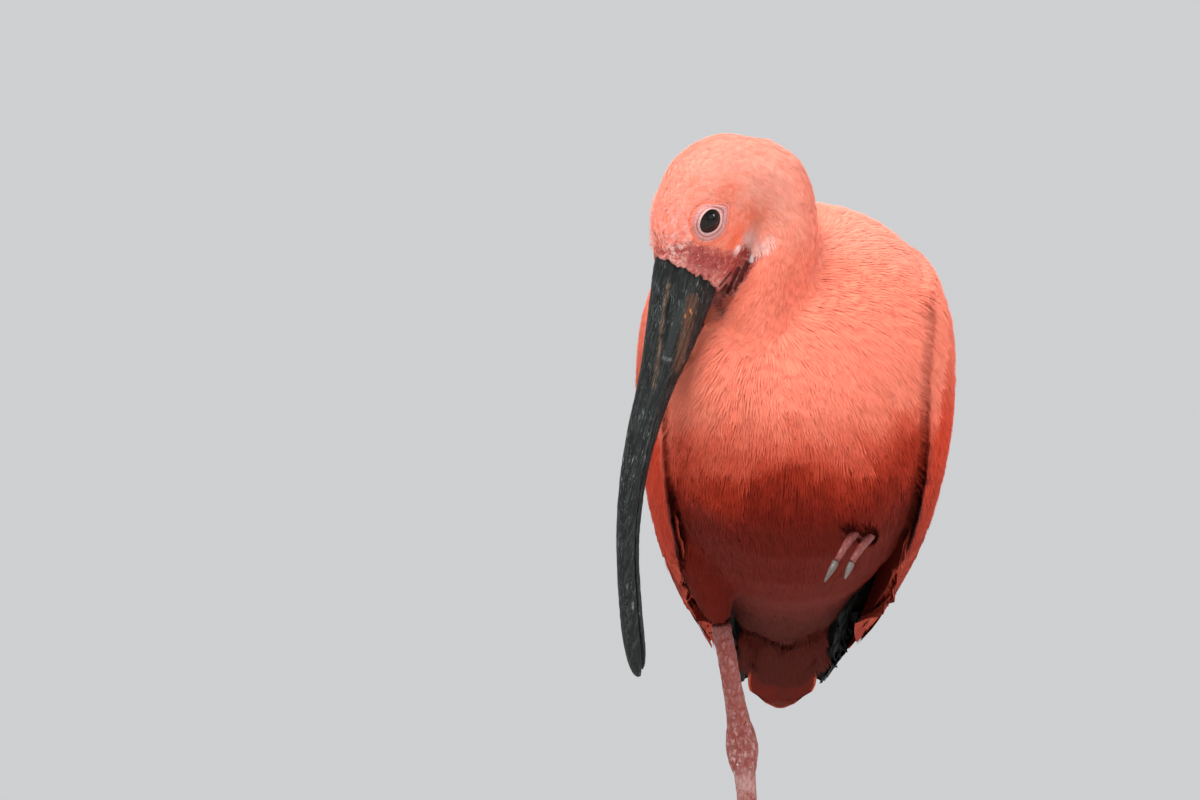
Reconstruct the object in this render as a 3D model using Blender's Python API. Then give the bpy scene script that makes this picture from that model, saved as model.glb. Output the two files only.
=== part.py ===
"""Scarlet ibis, life size, resting on its right leg with its bill hanging beside its breast.

The bird faces -Y with +Z up, and its own left side is towards +X. Sizes are millimetres and are
turned into metres when a mesh is made. Each named part of the body is one closed solid. The feathered
trunk, neck, thighs, wings and tail give the outline out to the tips of the feathers.
"""

import math

import bmesh
import bpy
from mathutils import Vector

MM = 0.001
GAP = 0.3

LEFT = 1
RIGHT = -1

# The body isn't quite square on: from the breast back it drifts towards the bird's right.
BODY_MIDDLE = -1.0
DRIFT_START = -30.0
REAR_DRIFT = -0.03

# Sections of the plumage from the neck down to the tail: distance back, height, tilt of the section's
# dorsal direction above level, half width and half depth of the trunk, then of the folded wings.
BODY_STATIONS = (
    (-39.0, 291.0, 36.0, 19.0, 13.0, 19.0, 13.0),
    (-36.5, 283.0, 35.0, 36.0, 28.0, 37.0, 28.0),
    (-36.0, 269.0, 35.0, 50.0, 45.0, 51.0, 45.0),
    (-31.5, 253.0, 35.0, 57.0, 56.5, 58.0, 56.5),
    (-21.0, 231.0, 35.0, 58.5, 63.5, 59.8, 63.5),
    (-5.5, 207.0, 36.0, 56.0, 62.5, 58.0, 63.5),
    (24.5, 182.0, 42.0, 45.0, 47.0, 52.6, 51.0),
    (55.0, 164.0, 47.0, 32.0, 29.0, 46.0, 34.5),
    (82.0, 147.0, 52.0, 22.0, 16.0, 36.5, 22.5),
    (104.0, 133.0, 54.0, 13.0, 8.0, 28.0, 13.5),
    (113.0, 128.0, 55.0, 6.0, 4.0, 24.5, 9.5),
)
TRUNK_SIDES = 28
TRUNK_RINGS = 20

# Edges of the folded wing at the same sections, from the third on, in degrees from the back's middle.
WING_FIRST_STATION = 2
WING_EDGES = ((66.0, 98.0), (40.0, 121.0), (25.0, 124.0), (14.0, 126.0), (8.0, 129.0), (5.0, 127.0),
              (4.0, 120.0), (8.0, 106.0), (34.0, 90.0))
WING_THICKNESS = (5.0, 6.5, 6.5, 6.0, 5.0, 4.0, 3.0, 1.8, 1.1)
WING_RINGS = 16
WING_ARC_POINTS = 10
WING_EDGE_THICKNESS = 0.8

# How far the bed cut for a wing reaches outward, and the radius that turns its clearance into degrees.
BED_HEIGHT = 25.0
BED_RADIUS = 50.0

# The dark flight feathers that show below the folded wing: distance back, height, tilt, half width,
# half depth, the two edges in degrees and the thickness.
PRIMARY_STATIONS = (
    (50.0, 165.5, 47.0, 35.0, 22.0, 84.0, 128.0, 3.0),
    (80.0, 148.0, 52.0, 30.5, 15.5, 70.0, 126.0, 2.6),
    (106.0, 131.0, 54.0, 24.0, 8.5, 36.0, 122.0, 2.0),
    (121.0, 121.5, 56.0, 19.5, 6.0, 30.0, 115.0, 1.5),
    (130.0, 115.5, 56.0, 16.0, 4.5, 48.0, 98.0, 1.1),
)
PRIMARY_RINGS = 8

TAIL_ROOT = Vector((0.0, 84.0, 138.0))
TAIL_TIP = Vector((0.0, 137.0, 109.5))
TAIL_HALF_WIDTHS = (13.0, 14.5, 14.5, 13.5, 11.8, 9.0, 4.5)
TAIL_HALF_THICKNESSES = (6.0, 5.0, 4.0, 3.0, 2.2, 1.5, 0.9)
TAIL_ROOF = 2.5
TAIL_SIDES = 14

# Neck from inside the breast to inside the skull: x, y, z, half width across the view, half depth.
NECK_STATIONS = (
    (-9.0, -34.0, 220.0, 36.0, 36.0),
    (-12.0, -40.0, 237.0, 29.0, 33.0),
    (-14.5, -46.0, 252.0, 20.5, 27.5),
    (-10.8, -51.0, 267.0, 15.6, 22.0),
    (-5.8, -55.0, 283.0, 13.6, 17.5),
    (-7.8, -58.5, 299.0, 14.6, 15.2),
    (-16.3, -62.0, 308.6, 15.2, 14.5),
    (-27.0, -64.0, 308.0, 14.0, 13.0),
)
NECK_SIDES = 20
NECK_RINGS = 15

# The head hangs with its bill down. Its own axes are forward along the bill, left and up to the crown.
BILL_BASE = Vector((-42.8, -69.0, 270.4))
HEAD_FORWARD = Vector((-0.257, -0.085, -0.966)).normalized()
HEAD_ROLL = math.radians(28.0)

# Skull sections: distance ahead of the bill's base, centre's height, half width, up, down.
HEAD_STATIONS = (
    (-57.5, -5.0, 3.5, 3.0, 3.0),
    (-54.5, -4.5, 9.0, 8.0, 8.5),
    (-49.0, -3.0, 13.2, 13.2, 14.0),
    (-41.0, -1.0, 15.6, 17.6, 17.0),
    (-31.0, 0.0, 16.0, 19.4, 18.2),
    (-21.0, 0.3, 15.0, 19.4, 19.0),
    (-12.0, -0.3, 13.0, 17.9, 19.3),
    (-4.0, -0.8, 10.8, 15.2, 17.0),
    (2.0, -1.0, 8.8, 12.5, 13.5),
)
HEAD_SIDES = 22
HEAD_RINGS = 15

EYE_BACK = 21.9
EYE_OUT = 10.2
EYE_UP = 4.2
EYE_RADIUS = 6.0
EYE_SEGMENTS = 14
EYE_RINGS = 8

# Bill sections: distance ahead of the base, height of the middle line, half width, half height.
BILL_STATIONS = (
    (-4.0, 0.0, 8.2, 13.0),
    (0.0, 0.0, 8.6, 13.4),
    (23.5, -0.3, 7.0, 10.2),
    (42.0, 0.4, 5.6, 7.2),
    (60.0, 0.8, 4.9, 5.9),
    (78.0, -0.3, 4.5, 4.95),
    (94.3, -3.1, 4.1, 4.35),
    (110.0, -7.4, 3.8, 3.9),
    (129.8, -15.0, 3.7, 3.9),
    (141.3, -20.3, 3.3, 3.4),
    (147.0, -23.2, 2.2, 2.2),
    (149.0, -24.6, 0.9, 0.8),
)
BILL_SIDES = 12
BILL_RINGS = 17
TOMIUM_SHARE = 0.3
LOWER_BILL_SHORTER = 2.5

# Right leg, which carries the bird: x, y, z and radius.
THIGH_STATIONS = (
    (-33.0, -10.0, 196.0, 20.0),
    (-36.0, -7.0, 180.0, 17.0),
    (-35.5, 0.0, 166.0, 12.6),
    (-32.2, 11.0, 151.0, 8.3),
    (-30.0, 18.5, 143.0, 5.6),
    (-29.6, 19.5, 140.5, 4.6),
)
TIBIA_STATIONS = (
    (-29.4, 20.0, 139.6, 4.1),
    (-26.4, 25.0, 124.0, 3.9),
    (-23.6, 30.0, 108.0, 4.2),
    (-22.3, 32.2, 101.0, 5.0),
)
ANKLE_STATIONS = (
    (-22.2, 32.4, 100.4, 5.1),
    (-21.6, 33.4, 96.0, 6.2),
    (-21.1, 33.6, 91.0, 6.4),
    (-20.6, 33.0, 86.0, 5.6),
    (-20.2, 32.4, 82.5, 4.5),
)
TARSUS_STATIONS = (
    (-20.1, 32.3, 81.9, 4.4),
    (-18.6, 30.2, 65.0, 3.7),
    (-15.4, 26.2, 34.0, 3.5),
    (-12.9, 23.0, 16.0, 4.3),
    (-11.9, 21.8, 7.0, 5.6),
    (-11.6, 21.4, 3.2, 5.2),
    (-11.5, 21.3, 0.0, 4.0),
)
LEG_SIDES = 12
THIGH_SIDES = 14
TIBIA_RINGS = 6
ANKLE_RINGS = 7
TARSUS_RINGS = 11

# Front toes and hind toe of the standing foot: heading from straight ahead towards the bird's left,
# length and radius at the root.
FOOT_CENTRE = Vector((-11.5, 21.3, 0.0))
TOES = {
    "inner": (37.0, 47.0, 3.3),
    "middle": (3.0, 61.0, 3.6),
    "outer": (-34.0, 51.0, 3.3),
    "hind": (171.0, 25.0, 3.1),
}
TOE_SIDES = 9
TOE_RINGS = 9
TOE_ROOT_START = 1.5
TOE_TAPER = 0.38
TOE_PAD_SWELL = 0.07

# The middle line's height as a share of the radius is under 1, and points lower than the pressed height
# go to the floor, so the toes rest on flats.
TOE_HEIGHT_SHARE = 0.86
SOLE_PRESS = 0.4

# A claw starts ahead of its toe's tip and above its middle line. Its root is a share of the toe's radius.
CLAW_LENGTH = 8.0
CLAW_SIDES = 8
CLAW_RINGS = 4
CLAW_TAPER = 0.78
CLAW_START = 1.2
CLAW_RISE = 0.4
CLAW_SHARE = 0.5
CLAW_TIP_HEIGHT = 1.0

# Toes of the drawn-up left foot, which push out of the belly feathers: root, bend, tip, claw tip, radius.
TUCKED_TOES = {
    "middle": ((22.0, -44.0, 175.0), (18.0, -61.0, 170.5), (13.6, -67.5, 163.4), (9.2, -68.5, 155.6), 1.75),
    "inner": ((27.0, -42.0, 173.0), (23.0, -58.0, 168.5), (19.4, -64.5, 163.0), (17.0, -66.5, 156.6), 1.75),
}

TUCKED_TOE_SIZES = (1.15, 1.05, 0.85)
TUCKED_TOE_RINGS = 7
TUCKED_CLAW_START = 0.96
TUCKED_CLAW_SHARE = 0.7

SHARP_ANGLE = math.radians(40.0)

COLOURS = {
    "scarlet plumage": ((0.62, 0.055, 0.025), 0.85),
    "black plumage": ((0.012, 0.011, 0.012), 0.7),
    "bill horn": ((0.022, 0.022, 0.022), 0.4),
    "eye": ((0.008, 0.006, 0.005), 0.05),
    "leg skin": ((0.33, 0.085, 0.075), 0.6),
    "claw horn": ((0.42, 0.33, 0.28), 0.5),
}


def clear_scene():
    """Empties the file of objects, so the bird is all it holds."""
    for item in list(bpy.data.objects):
        bpy.data.objects.remove(item, do_unlink=True)


def new_collection(name):
    """Adds a collection to the scene."""
    collection = bpy.data.collections.new(name)
    bpy.context.scene.collection.children.link(collection)
    return collection


def make_material(name):
    """Makes one Principled material from the table of colours."""
    colour, roughness = COLOURS[name]
    material = bpy.data.materials.new(name)
    material.use_nodes = True
    shader = material.node_tree.nodes["Principled BSDF"]
    shader.inputs["Base Color"].default_value = (*colour, 1.0)
    shader.inputs["Roughness"].default_value = roughness
    shader.inputs["Metallic"].default_value = 0.0
    return material


def smooth_row(rows, place):
    """Reads a smooth curve through rows of numbers at a place from 0 to the last row's index."""
    index = min(int(place), len(rows) - 2)
    t = place - index
    before = rows[max(index - 1, 0)]
    start = rows[index]
    end = rows[index + 1]
    after = rows[min(index + 2, len(rows) - 1)]
    values = []
    for a, b, c, d in zip(before, start, end, after):
        slope_in = 0.5 * (c - a)
        slope_out = 0.5 * (d - b)
        rise = c - b
        values.append(b + t * (slope_in + t * (3 * rise - 2 * slope_in - slope_out
                                               + t * (slope_in + slope_out - 2 * rise))))
    return values


def sample_rows(rows, count):
    """Reads evenly spaced rows from the smooth curve, ends included."""
    last = len(rows) - 1
    return [smooth_row(rows, last * step / (count - 1)) for step in range(count)]


def ellipse_ring(centre, side, up, half_side, half_up, half_down, sides):
    """Gives the points of a section with its own height above and below the centre."""
    points = []
    for step in range(sides):
        angle = 2 * math.pi * (step + 0.5) / sides
        height = half_up if math.sin(angle) > 0 else half_down
        points.append(centre + side * half_side * math.cos(angle) + up * height * math.sin(angle))
    return points


def add_quad(mesh, a, b, c, d):
    """Adds a four-cornered facet as two triangles, split the same way on a shape and on its enlarged copy."""
    mesh.faces.new((a, b, c))
    mesh.faces.new((a, c, d))


def close_end(mesh, loop, ends):
    """Closes a ring: "pole" as a low cone, "flat" as one face, "strip" across a crescent's thickness."""
    count = len(loop)
    if ends == "flat":
        mesh.faces.new(loop)
    elif ends == "strip":
        for step in range(count // 2 - 1):
            add_quad(mesh, loop[step], loop[step + 1], loop[count - 2 - step], loop[count - 1 - step])
    else:
        pole = mesh.verts.new(sum((vertex.co for vertex in loop), Vector()) / count)
        for step in range(count):
            mesh.faces.new((loop[step], loop[(step + 1) % count], pole))


def loft(name, rings, collection, material, ends="pole"):
    """Joins rings of equal count into one closed mesh object."""
    mesh = bmesh.new()
    loops = [[mesh.verts.new(point * MM) for point in ring] for ring in rings]
    count = len(loops[0])
    for first, second in zip(loops, loops[1:]):
        for step in range(count):
            following = (step + 1) % count
            add_quad(mesh, first[step], first[following], second[following], second[step])
    close_end(mesh, loops[0], ends)
    close_end(mesh, loops[-1], ends)
    bmesh.ops.recalc_face_normals(mesh, faces=mesh.faces)
    data = bpy.data.meshes.new(name)
    mesh.to_mesh(data)
    mesh.free()
    if material is not None:
        data.materials.append(material)
        data.shade_smooth()
        data.set_sharp_from_angle(angle=SHARP_ANGLE)
    item = bpy.data.objects.new(name, data)
    collection.objects.link(item)
    return item


def as_cutter(item):
    """Marks an object as a cutting tool that isn't part of the bird."""
    item.hide_render = True
    item.display_type = "WIRE"
    return item


def cut(item, cutter):
    """Takes a cutter's shape out of an object."""
    modifier = item.modifiers.new("cut by " + cutter.name, "BOOLEAN")
    modifier.operation = "DIFFERENCE"
    modifier.solver = "EXACT"
    modifier.object = cutter


def body_middle(back):
    """Gives the sideways place of the body's middle at a distance back."""
    return BODY_MIDDLE + REAR_DRIFT * max(back - DRIFT_START, 0.0)


def body_section(row, half_width, half_depth):
    """Gives a body section's centre, side and dorsal directions, scaled to its half sizes."""
    back, height, tilt = row[:3]
    centre = Vector((body_middle(back), back, height))
    dorsal = Vector((0.0, math.cos(math.radians(tilt)), math.sin(math.radians(tilt))))
    return centre, Vector((half_width, 0.0, 0.0)), dorsal * half_depth


def trunk_rings(grow):
    """Gives the trunk's sections, enlarged by a clearance."""
    rings = []
    for row in sample_rows(BODY_STATIONS, TRUNK_RINGS):
        centre, side, dorsal = body_section(row, row[3] + grow, row[4] + grow)
        rings.append(ellipse_ring(centre, side.normalized(), dorsal.normalized(), side.length,
                                  dorsal.length, dorsal.length, TRUNK_SIDES))
    return rings


def shell_ring(centre, side, dorsal, edges, side_sign, thickness, outer_grow, inner_grow):
    """Gives a crescent section that wraps one side of the body between two angles.

    The crescent is full thickness in its middle and thin at its two edges.
    """
    outer, inner = [], []
    for step in range(WING_ARC_POINTS):
        share = step / (WING_ARC_POINTS - 1)
        angle = math.radians(edges[0] + (edges[1] - edges[0]) * share)
        direction = side * side_sign * math.sin(angle) + dorsal * math.cos(angle)
        outward = (side.normalized() * side_sign * math.sin(angle) + dorsal.normalized() * math.cos(angle))
        fullness = math.sqrt(max(math.sin(math.pi * share), 0.0))
        depth = WING_EDGE_THICKNESS + (thickness - WING_EDGE_THICKNESS) * fullness
        outer.append(centre + direction + outward * outer_grow)
        inner.append(centre + direction - outward * (depth + inner_grow))
    return outer + inner[::-1]


def past_end(ring, neighbour, distance):
    """Moves an end ring outward, away from its neighbour."""
    return [point + (point - other).normalized() * distance for point, other in zip(ring, neighbour)]


def wing_rings(side_sign, grow, clear_outside):
    """Gives a folded wing's sections, or those of the space it takes out of the trunk."""
    count = len(WING_EDGES)
    rows = [list(BODY_STATIONS[WING_FIRST_STATION + step]) + list(WING_EDGES[step])
            + [WING_THICKNESS[step]] for step in range(count)]
    margin = math.degrees(grow / BED_RADIUS)
    rings = []
    for row in sample_rows(rows, WING_RINGS):
        centre, side, dorsal = body_section(row, row[5], row[6])
        edges = (row[7] - margin, row[8] + margin)
        rings.append(shell_ring(centre, side, dorsal, edges, side_sign, row[9], clear_outside, grow))
    if grow:
        rings[0] = past_end(rings[0], rings[1], grow)
        rings[-1] = past_end(rings[-1], rings[-2], grow)
    return rings


def primary_rings(side_sign):
    """Gives the sections of the dark flight feathers that lie under the folded wing."""
    rings = []
    for row in sample_rows(PRIMARY_STATIONS, PRIMARY_RINGS):
        centre, side, dorsal = body_section(row, row[3], row[4])
        rings.append(shell_ring(centre, side, dorsal, (row[5], row[6]), side_sign, row[7], 0.0, 0.0))
    return rings


def tail_rings(grow):
    """Gives the tail's sections, a low roof that widens and then rounds off."""
    rows = list(zip(TAIL_HALF_WIDTHS, TAIL_HALF_THICKNESSES))
    axis = TAIL_TIP - TAIL_ROOT
    up = Vector((0.0, -axis.z, axis.y)).normalized()
    rings = []
    for step, (half_width, half_thickness) in enumerate(rows):
        centre = TAIL_ROOT + axis * step / (len(rows) - 1)
        centre.x = body_middle(centre.y)
        ring = ellipse_ring(centre, Vector((1, 0, 0)), up, half_width + grow, half_thickness + grow,
                            half_thickness + grow, TAIL_SIDES)
        for point in ring:
            point -= up * TAIL_ROOF * ((point.x - centre.x) / half_width) ** 2
        rings.append(ring)
    return rings


def tube_rings(rows, reference, sides, grow=0.0, rings=None):
    """Gives sections of a limb along x, y, z rows that end with one or two half sizes."""
    samples = sample_rows(rows, rings or len(rows))
    centres = [Vector(row[:3]) for row in samples]
    result = []
    for step, row in enumerate(samples):
        ahead = centres[min(step + 1, len(centres) - 1)] - centres[max(step - 1, 0)]
        ahead.normalize()
        side = (reference - ahead * reference.dot(ahead)).normalized()
        up = side.cross(ahead)
        half_side = row[4] + grow if len(row) > 4 else row[3] + grow
        half_up = row[3] + grow
        result.append(ellipse_ring(centres[step], side, up, half_side, half_up, half_up, sides))
    return result


def head_axes():
    """Gives the head's forward, left and up directions."""
    level_left = Vector((0.0, -1.0, 0.0))
    level_left = (level_left - HEAD_FORWARD * level_left.dot(HEAD_FORWARD)).normalized()
    across = HEAD_FORWARD.cross(level_left)
    left = level_left * math.cos(HEAD_ROLL) - across * math.sin(HEAD_ROLL)
    up = HEAD_FORWARD.cross(left)
    return HEAD_FORWARD, left, up


def head_rings(grow):
    """Gives the skull's sections from the nape to the bill's base."""
    forward, left, up = head_axes()
    rings = []
    for ahead, rise, half_width, above, below in sample_rows(HEAD_STATIONS, HEAD_RINGS):
        centre = BILL_BASE + forward * ahead + up * rise
        rings.append(ellipse_ring(centre, left, up, half_width + grow, above + grow, below + grow,
                                  HEAD_SIDES))
    return rings


def bill_sections(shorter=0.0):
    """Gives centre, left, up, half width and half height along the curved bill."""
    forward, left, up = head_axes()
    last = len(BILL_STATIONS) - 1
    rows = [smooth_row(BILL_STATIONS, last * step / (BILL_RINGS - 1)) for step in range(BILL_RINGS)]
    centres = [BILL_BASE + forward * (row[0] - shorter * step / (BILL_RINGS - 1)) + up * row[1]
               for step, row in enumerate(rows)]
    for step, row in enumerate(rows):
        ahead = (centres[min(step + 1, len(rows) - 1)] - centres[max(step - 1, 0)]).normalized()
        yield centres[step], left, left.cross(ahead) * -1, row[2], row[3]


def whole_bill_rings(grow):
    """Gives the sections of the closed bill, enlarged by a clearance."""
    return [ellipse_ring(centre, left, up, half_width + grow, half_height + grow, half_height + grow,
                         BILL_SIDES * 2)
            for centre, left, up, half_width, half_height in bill_sections()]


def mandible_rings(upper):
    """Gives the sections of the upper or lower mandible, flat along the line where they meet."""
    start = -math.asin(TOMIUM_SHARE)
    sweep = math.pi - 2 * start
    if not upper:
        start, sweep = start, -(2 * math.pi - sweep)
    shift = GAP / 2 if upper else -GAP / 2
    rings = []
    for centre, left, up, half_width, half_height in bill_sections(0.0 if upper else LOWER_BILL_SHORTER):
        ring = []
        for step in range(BILL_SIDES):
            angle = start + sweep * step / (BILL_SIDES - 1)
            ring.append(centre + left * half_width * math.cos(angle)
                        + up * (half_height * math.sin(angle) + shift))
        rings.append(ring)
    return rings


def rest_on_floor(rings, level=0.0):
    """Presses the lowest points flat at floor level, or at another level for a space."""
    for ring in rings:
        for point in ring:
            if point.z < SOLE_PRESS:
                point.z = level
    return rings


def toe_direction(heading):
    """Gives a toe's level direction for a heading from straight ahead towards the bird's left."""
    angle = math.radians(heading)
    return Vector((math.sin(angle), -math.cos(angle), 0.0))


def toe_rows(heading, length, radius):
    """Gives a standing toe's rows: low, tapered and fuller at each joint's pad."""
    direction = toe_direction(heading)
    rows = []
    for step in range(TOE_RINGS):
        share = step / (TOE_RINGS - 1)
        size = radius * (1.0 - TOE_TAPER * share) * (1.0 + TOE_PAD_SWELL * math.cos(4 * math.pi * share))
        centre = FOOT_CENTRE + direction * (TOE_ROOT_START + (length - TOE_ROOT_START) * share)
        rows.append((centre.x, centre.y, size * TOE_HEIGHT_SHARE, size))
    return rows


def claw_rows(root, direction, length, radius, droop):
    """Gives a claw's rows: it narrows to a point and curves down."""
    rows = []
    for step in range(CLAW_RINGS):
        share = step / (CLAW_RINGS - 1)
        centre = root + direction * length * share - Vector((0, 0, droop * share * share))
        rows.append((*centre, radius * (1.0 - CLAW_TAPER * share)))
    return rows


def build_spaces(cutters):
    """Makes the enlarged copies of the big shapes that their neighbours are trimmed with."""
    reference = Vector((0, -1, 0))
    below_floor = (*TARSUS_STATIONS[-1][:2], -TARSUS_STATIONS[-1][3], TARSUS_STATIONS[-1][3])
    rings = {
        "trunk": trunk_rings(GAP),
        "tail": tail_rings(GAP),
        "head": head_rings(GAP),
        "bill": whole_bill_rings(GAP),
        "tarsus": tube_rings((*TARSUS_STATIONS, below_floor), reference, LEG_SIDES, GAP, TARSUS_RINGS + 1),
        "middle_toe": rest_on_floor(tube_rings(toe_rows(*TOES["middle"]), Vector((0, 0, 1)), TOE_SIDES, GAP),
                                    -TARSUS_STATIONS[-1][3]),
    }
    spaces = {name: as_cutter(loft("space_of_" + name, rows, cutters, None)) for name, rows in rings.items()}
    for side_sign, name in ((LEFT, "wing_left"), (RIGHT, "wing_right")):
        bed = loft("space_of_" + name, wing_rings(side_sign, GAP, BED_HEIGHT), cutters, None, "strip")
        spaces[name] = as_cutter(bed)
    return spaces


def build_trunk(parts, spaces, materials):
    """Builds the trunk, with shallow beds for the folded wings and room for the bill beside the breast."""
    trunk = loft("trunk", trunk_rings(0.0), parts, materials["scarlet plumage"])
    for neighbour in ("wing_left", "wing_right", "bill"):
        cut(trunk, spaces[neighbour])


def build_wings(parts, spaces, materials):
    """Builds both folded wings and the dark flight feathers under them."""
    for side_sign, name in ((LEFT, "left"), (RIGHT, "right")):
        loft("wing_" + name, wing_rings(side_sign, 0.0, 0.0), parts, materials["scarlet plumage"], "strip")
        primaries = loft("primaries_" + name, primary_rings(side_sign), parts, materials["black plumage"],
                         "strip")
        cut(primaries, spaces["trunk"])
        cut(primaries, spaces["tail"])


def build_tail(parts, spaces, materials):
    """Builds the tail from the trunk's end on."""
    tail = loft("tail", tail_rings(0.0), parts, materials["scarlet plumage"])
    cut(tail, spaces["trunk"])


def build_neck(parts, spaces, materials):
    """Builds the neck between the breast and the back of the head."""
    rings = tube_rings(NECK_STATIONS, Vector((0, -1, 0)), NECK_SIDES, rings=NECK_RINGS)
    neck = loft("neck", rings, parts, materials["scarlet plumage"])
    for neighbour in ("trunk", "head"):
        cut(neck, spaces[neighbour])


def ball(name, centre, radius, collection, material):
    """Makes a sphere of moderate detail."""
    mesh = bmesh.new()
    bmesh.ops.create_uvsphere(mesh, u_segments=EYE_SEGMENTS, v_segments=EYE_RINGS, radius=radius * MM)
    data = bpy.data.meshes.new(name)
    mesh.to_mesh(data)
    mesh.free()
    if material is not None:
        data.materials.append(material)
        data.shade_smooth()
    item = bpy.data.objects.new(name, data)
    item.location = centre * MM
    collection.objects.link(item)
    return item


def build_head(parts, cutters, spaces, materials):
    """Builds the skull, its two eyes and the bill seated in its front."""
    forward, left, up = head_axes()
    head = loft("head", head_rings(0.0), parts, materials["scarlet plumage"])
    cut(head, spaces["bill"])
    for side_sign, name in ((LEFT, "left"), (RIGHT, "right")):
        centre = BILL_BASE - forward * EYE_BACK + left * side_sign * EYE_OUT + up * EYE_UP
        ball("eye_" + name, centre, EYE_RADIUS, parts, materials["eye"])
        cut(head, as_cutter(ball("socket_of_eye_" + name, centre, EYE_RADIUS + GAP, cutters, None)))
    loft("bill_upper", mandible_rings(True), parts, materials["bill horn"])
    loft("bill_lower", mandible_rings(False), parts, materials["bill horn"])


def build_standing_leg(parts, spaces, materials):
    """Builds the right leg from its feathered thigh down to the tarsus."""
    reference = Vector((0, -1, 0))
    skin = materials["leg skin"]
    thigh = loft("thigh_right", tube_rings(THIGH_STATIONS, reference, THIGH_SIDES), parts,
                 materials["scarlet plumage"])
    for neighbour in ("trunk", "wing_right"):
        cut(thigh, spaces[neighbour])
    lower_leg = {
        "tibia_right": (TIBIA_STATIONS, TIBIA_RINGS),
        "ankle_right": (ANKLE_STATIONS, ANKLE_RINGS),
        "tarsus_right": (TARSUS_STATIONS, TARSUS_RINGS),
    }
    for name, (rows, rings) in lower_leg.items():
        length = rest_on_floor(tube_rings(rows, reference, LEG_SIDES, rings=rings))
        loft(name, length, parts, skin, "flat")


def build_standing_foot(parts, spaces, materials):
    """Builds the four toes of the right foot, on flats at floor level, and their claws."""
    up = Vector((0, 0, 1))
    for name, (heading, length, radius) in TOES.items():
        rows = toe_rows(heading, length, radius)
        toe = loft("toe_right_" + name, rest_on_floor(tube_rings(rows, up, TOE_SIDES)), parts,
                   materials["leg skin"])
        cut(toe, spaces["tarsus"])
        if name in ("inner", "outer"):
            cut(toe, spaces["middle_toe"])
        direction = toe_direction(heading)
        root = Vector(rows[-1][:3]) + direction * CLAW_START + up * CLAW_RISE
        claw = claw_rows(root, direction, CLAW_LENGTH, radius * CLAW_SHARE, root.z - CLAW_TIP_HEIGHT)
        loft("claw_right_" + name, tube_rings(claw, up, CLAW_SIDES), parts, materials["claw horn"])


def build_tucked_foot(parts, spaces, materials):
    """Builds the visible toes of the left foot, drawn up into the belly feathers."""
    up = Vector((0, 0, 1))
    for name, (root, bend, tip, claw_tip, radius) in TUCKED_TOES.items():
        rows = [(*place, radius * size) for place, size in zip((root, bend, tip), TUCKED_TOE_SIZES)]
        toe = loft("toe_left_" + name, tube_rings(rows, up, CLAW_SIDES, rings=TUCKED_TOE_RINGS), parts,
                   materials["leg skin"])
        cut(toe, spaces["trunk"])
        direction = (Vector(claw_tip) - Vector(tip)).normalized()
        onward = direction + (Vector(tip) - Vector(bend)).normalized()
        start = Vector(tip) + onward * TUCKED_CLAW_START
        length = (Vector(claw_tip) - start).length
        claw = claw_rows(start, direction, length, radius * TUCKED_CLAW_SHARE, 0.0)
        loft("claw_left_" + name, tube_rings(claw, Vector((1, 0, 0)), CLAW_SIDES), parts,
             materials["claw horn"])


def centre_on_floor(items, cutters):
    """Moves everything so that the middle of the bird's box lies over the origin."""
    corners = []
    graph = bpy.context.evaluated_depsgraph_get()
    for item in items:
        shape = item.evaluated_get(graph)
        corners += [shape.matrix_world @ Vector(corner) for corner in shape.bound_box]
    shift = Vector((0.0, 0.0, 0.0))
    for axis in (0, 1):
        values = [corner[axis] for corner in corners]
        shift[axis] = -(min(values) + max(values)) / 2
    for item in list(items) + list(cutters):
        item.location += shift


def main():
    """Builds the whole bird."""
    clear_scene()
    parts = new_collection("scarlet ibis")
    cutters = new_collection("cutters")
    materials = {name: make_material(name) for name in COLOURS}
    spaces = build_spaces(cutters)
    build_trunk(parts, spaces, materials)
    build_wings(parts, spaces, materials)
    build_tail(parts, spaces, materials)
    build_neck(parts, spaces, materials)
    build_head(parts, cutters, spaces, materials)
    build_standing_leg(parts, spaces, materials)
    build_standing_foot(parts, spaces, materials)
    build_tucked_foot(parts, spaces, materials)
    centre_on_floor(parts.objects, cutters.objects)


main()
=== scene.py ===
"""Finished looks of a life-size scarlet ibis that rests on one leg, built around the fixed frame.

The bird faces -Y with +Z up, and its own left side is towards +X. Lengths are in metres, and a size that is
written in millimetres is multiplied by MM. The head has axes of its own: ahead along the bill, left and up.
"""

import logging
import math
from dataclasses import dataclass, field
from enum import Enum
from functools import cached_property
from typing import Callable

import bmesh
import bpy
import numpy as np
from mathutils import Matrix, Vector
from mathutils.bvhtree import BVHTree


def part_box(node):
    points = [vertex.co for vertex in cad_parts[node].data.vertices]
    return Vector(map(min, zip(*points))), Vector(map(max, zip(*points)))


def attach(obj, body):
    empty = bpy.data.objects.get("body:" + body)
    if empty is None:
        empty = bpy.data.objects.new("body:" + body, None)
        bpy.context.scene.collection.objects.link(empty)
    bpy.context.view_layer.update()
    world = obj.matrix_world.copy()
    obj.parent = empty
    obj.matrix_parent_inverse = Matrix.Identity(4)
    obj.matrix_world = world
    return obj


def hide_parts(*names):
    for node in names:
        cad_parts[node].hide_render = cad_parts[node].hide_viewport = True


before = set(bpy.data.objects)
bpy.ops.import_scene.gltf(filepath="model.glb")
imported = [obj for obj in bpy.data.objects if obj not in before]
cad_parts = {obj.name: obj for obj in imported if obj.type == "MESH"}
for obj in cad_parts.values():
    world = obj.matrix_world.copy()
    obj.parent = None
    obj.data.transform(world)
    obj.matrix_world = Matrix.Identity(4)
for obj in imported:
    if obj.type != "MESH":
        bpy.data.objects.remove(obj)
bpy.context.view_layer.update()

Array = np.ndarray
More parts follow.
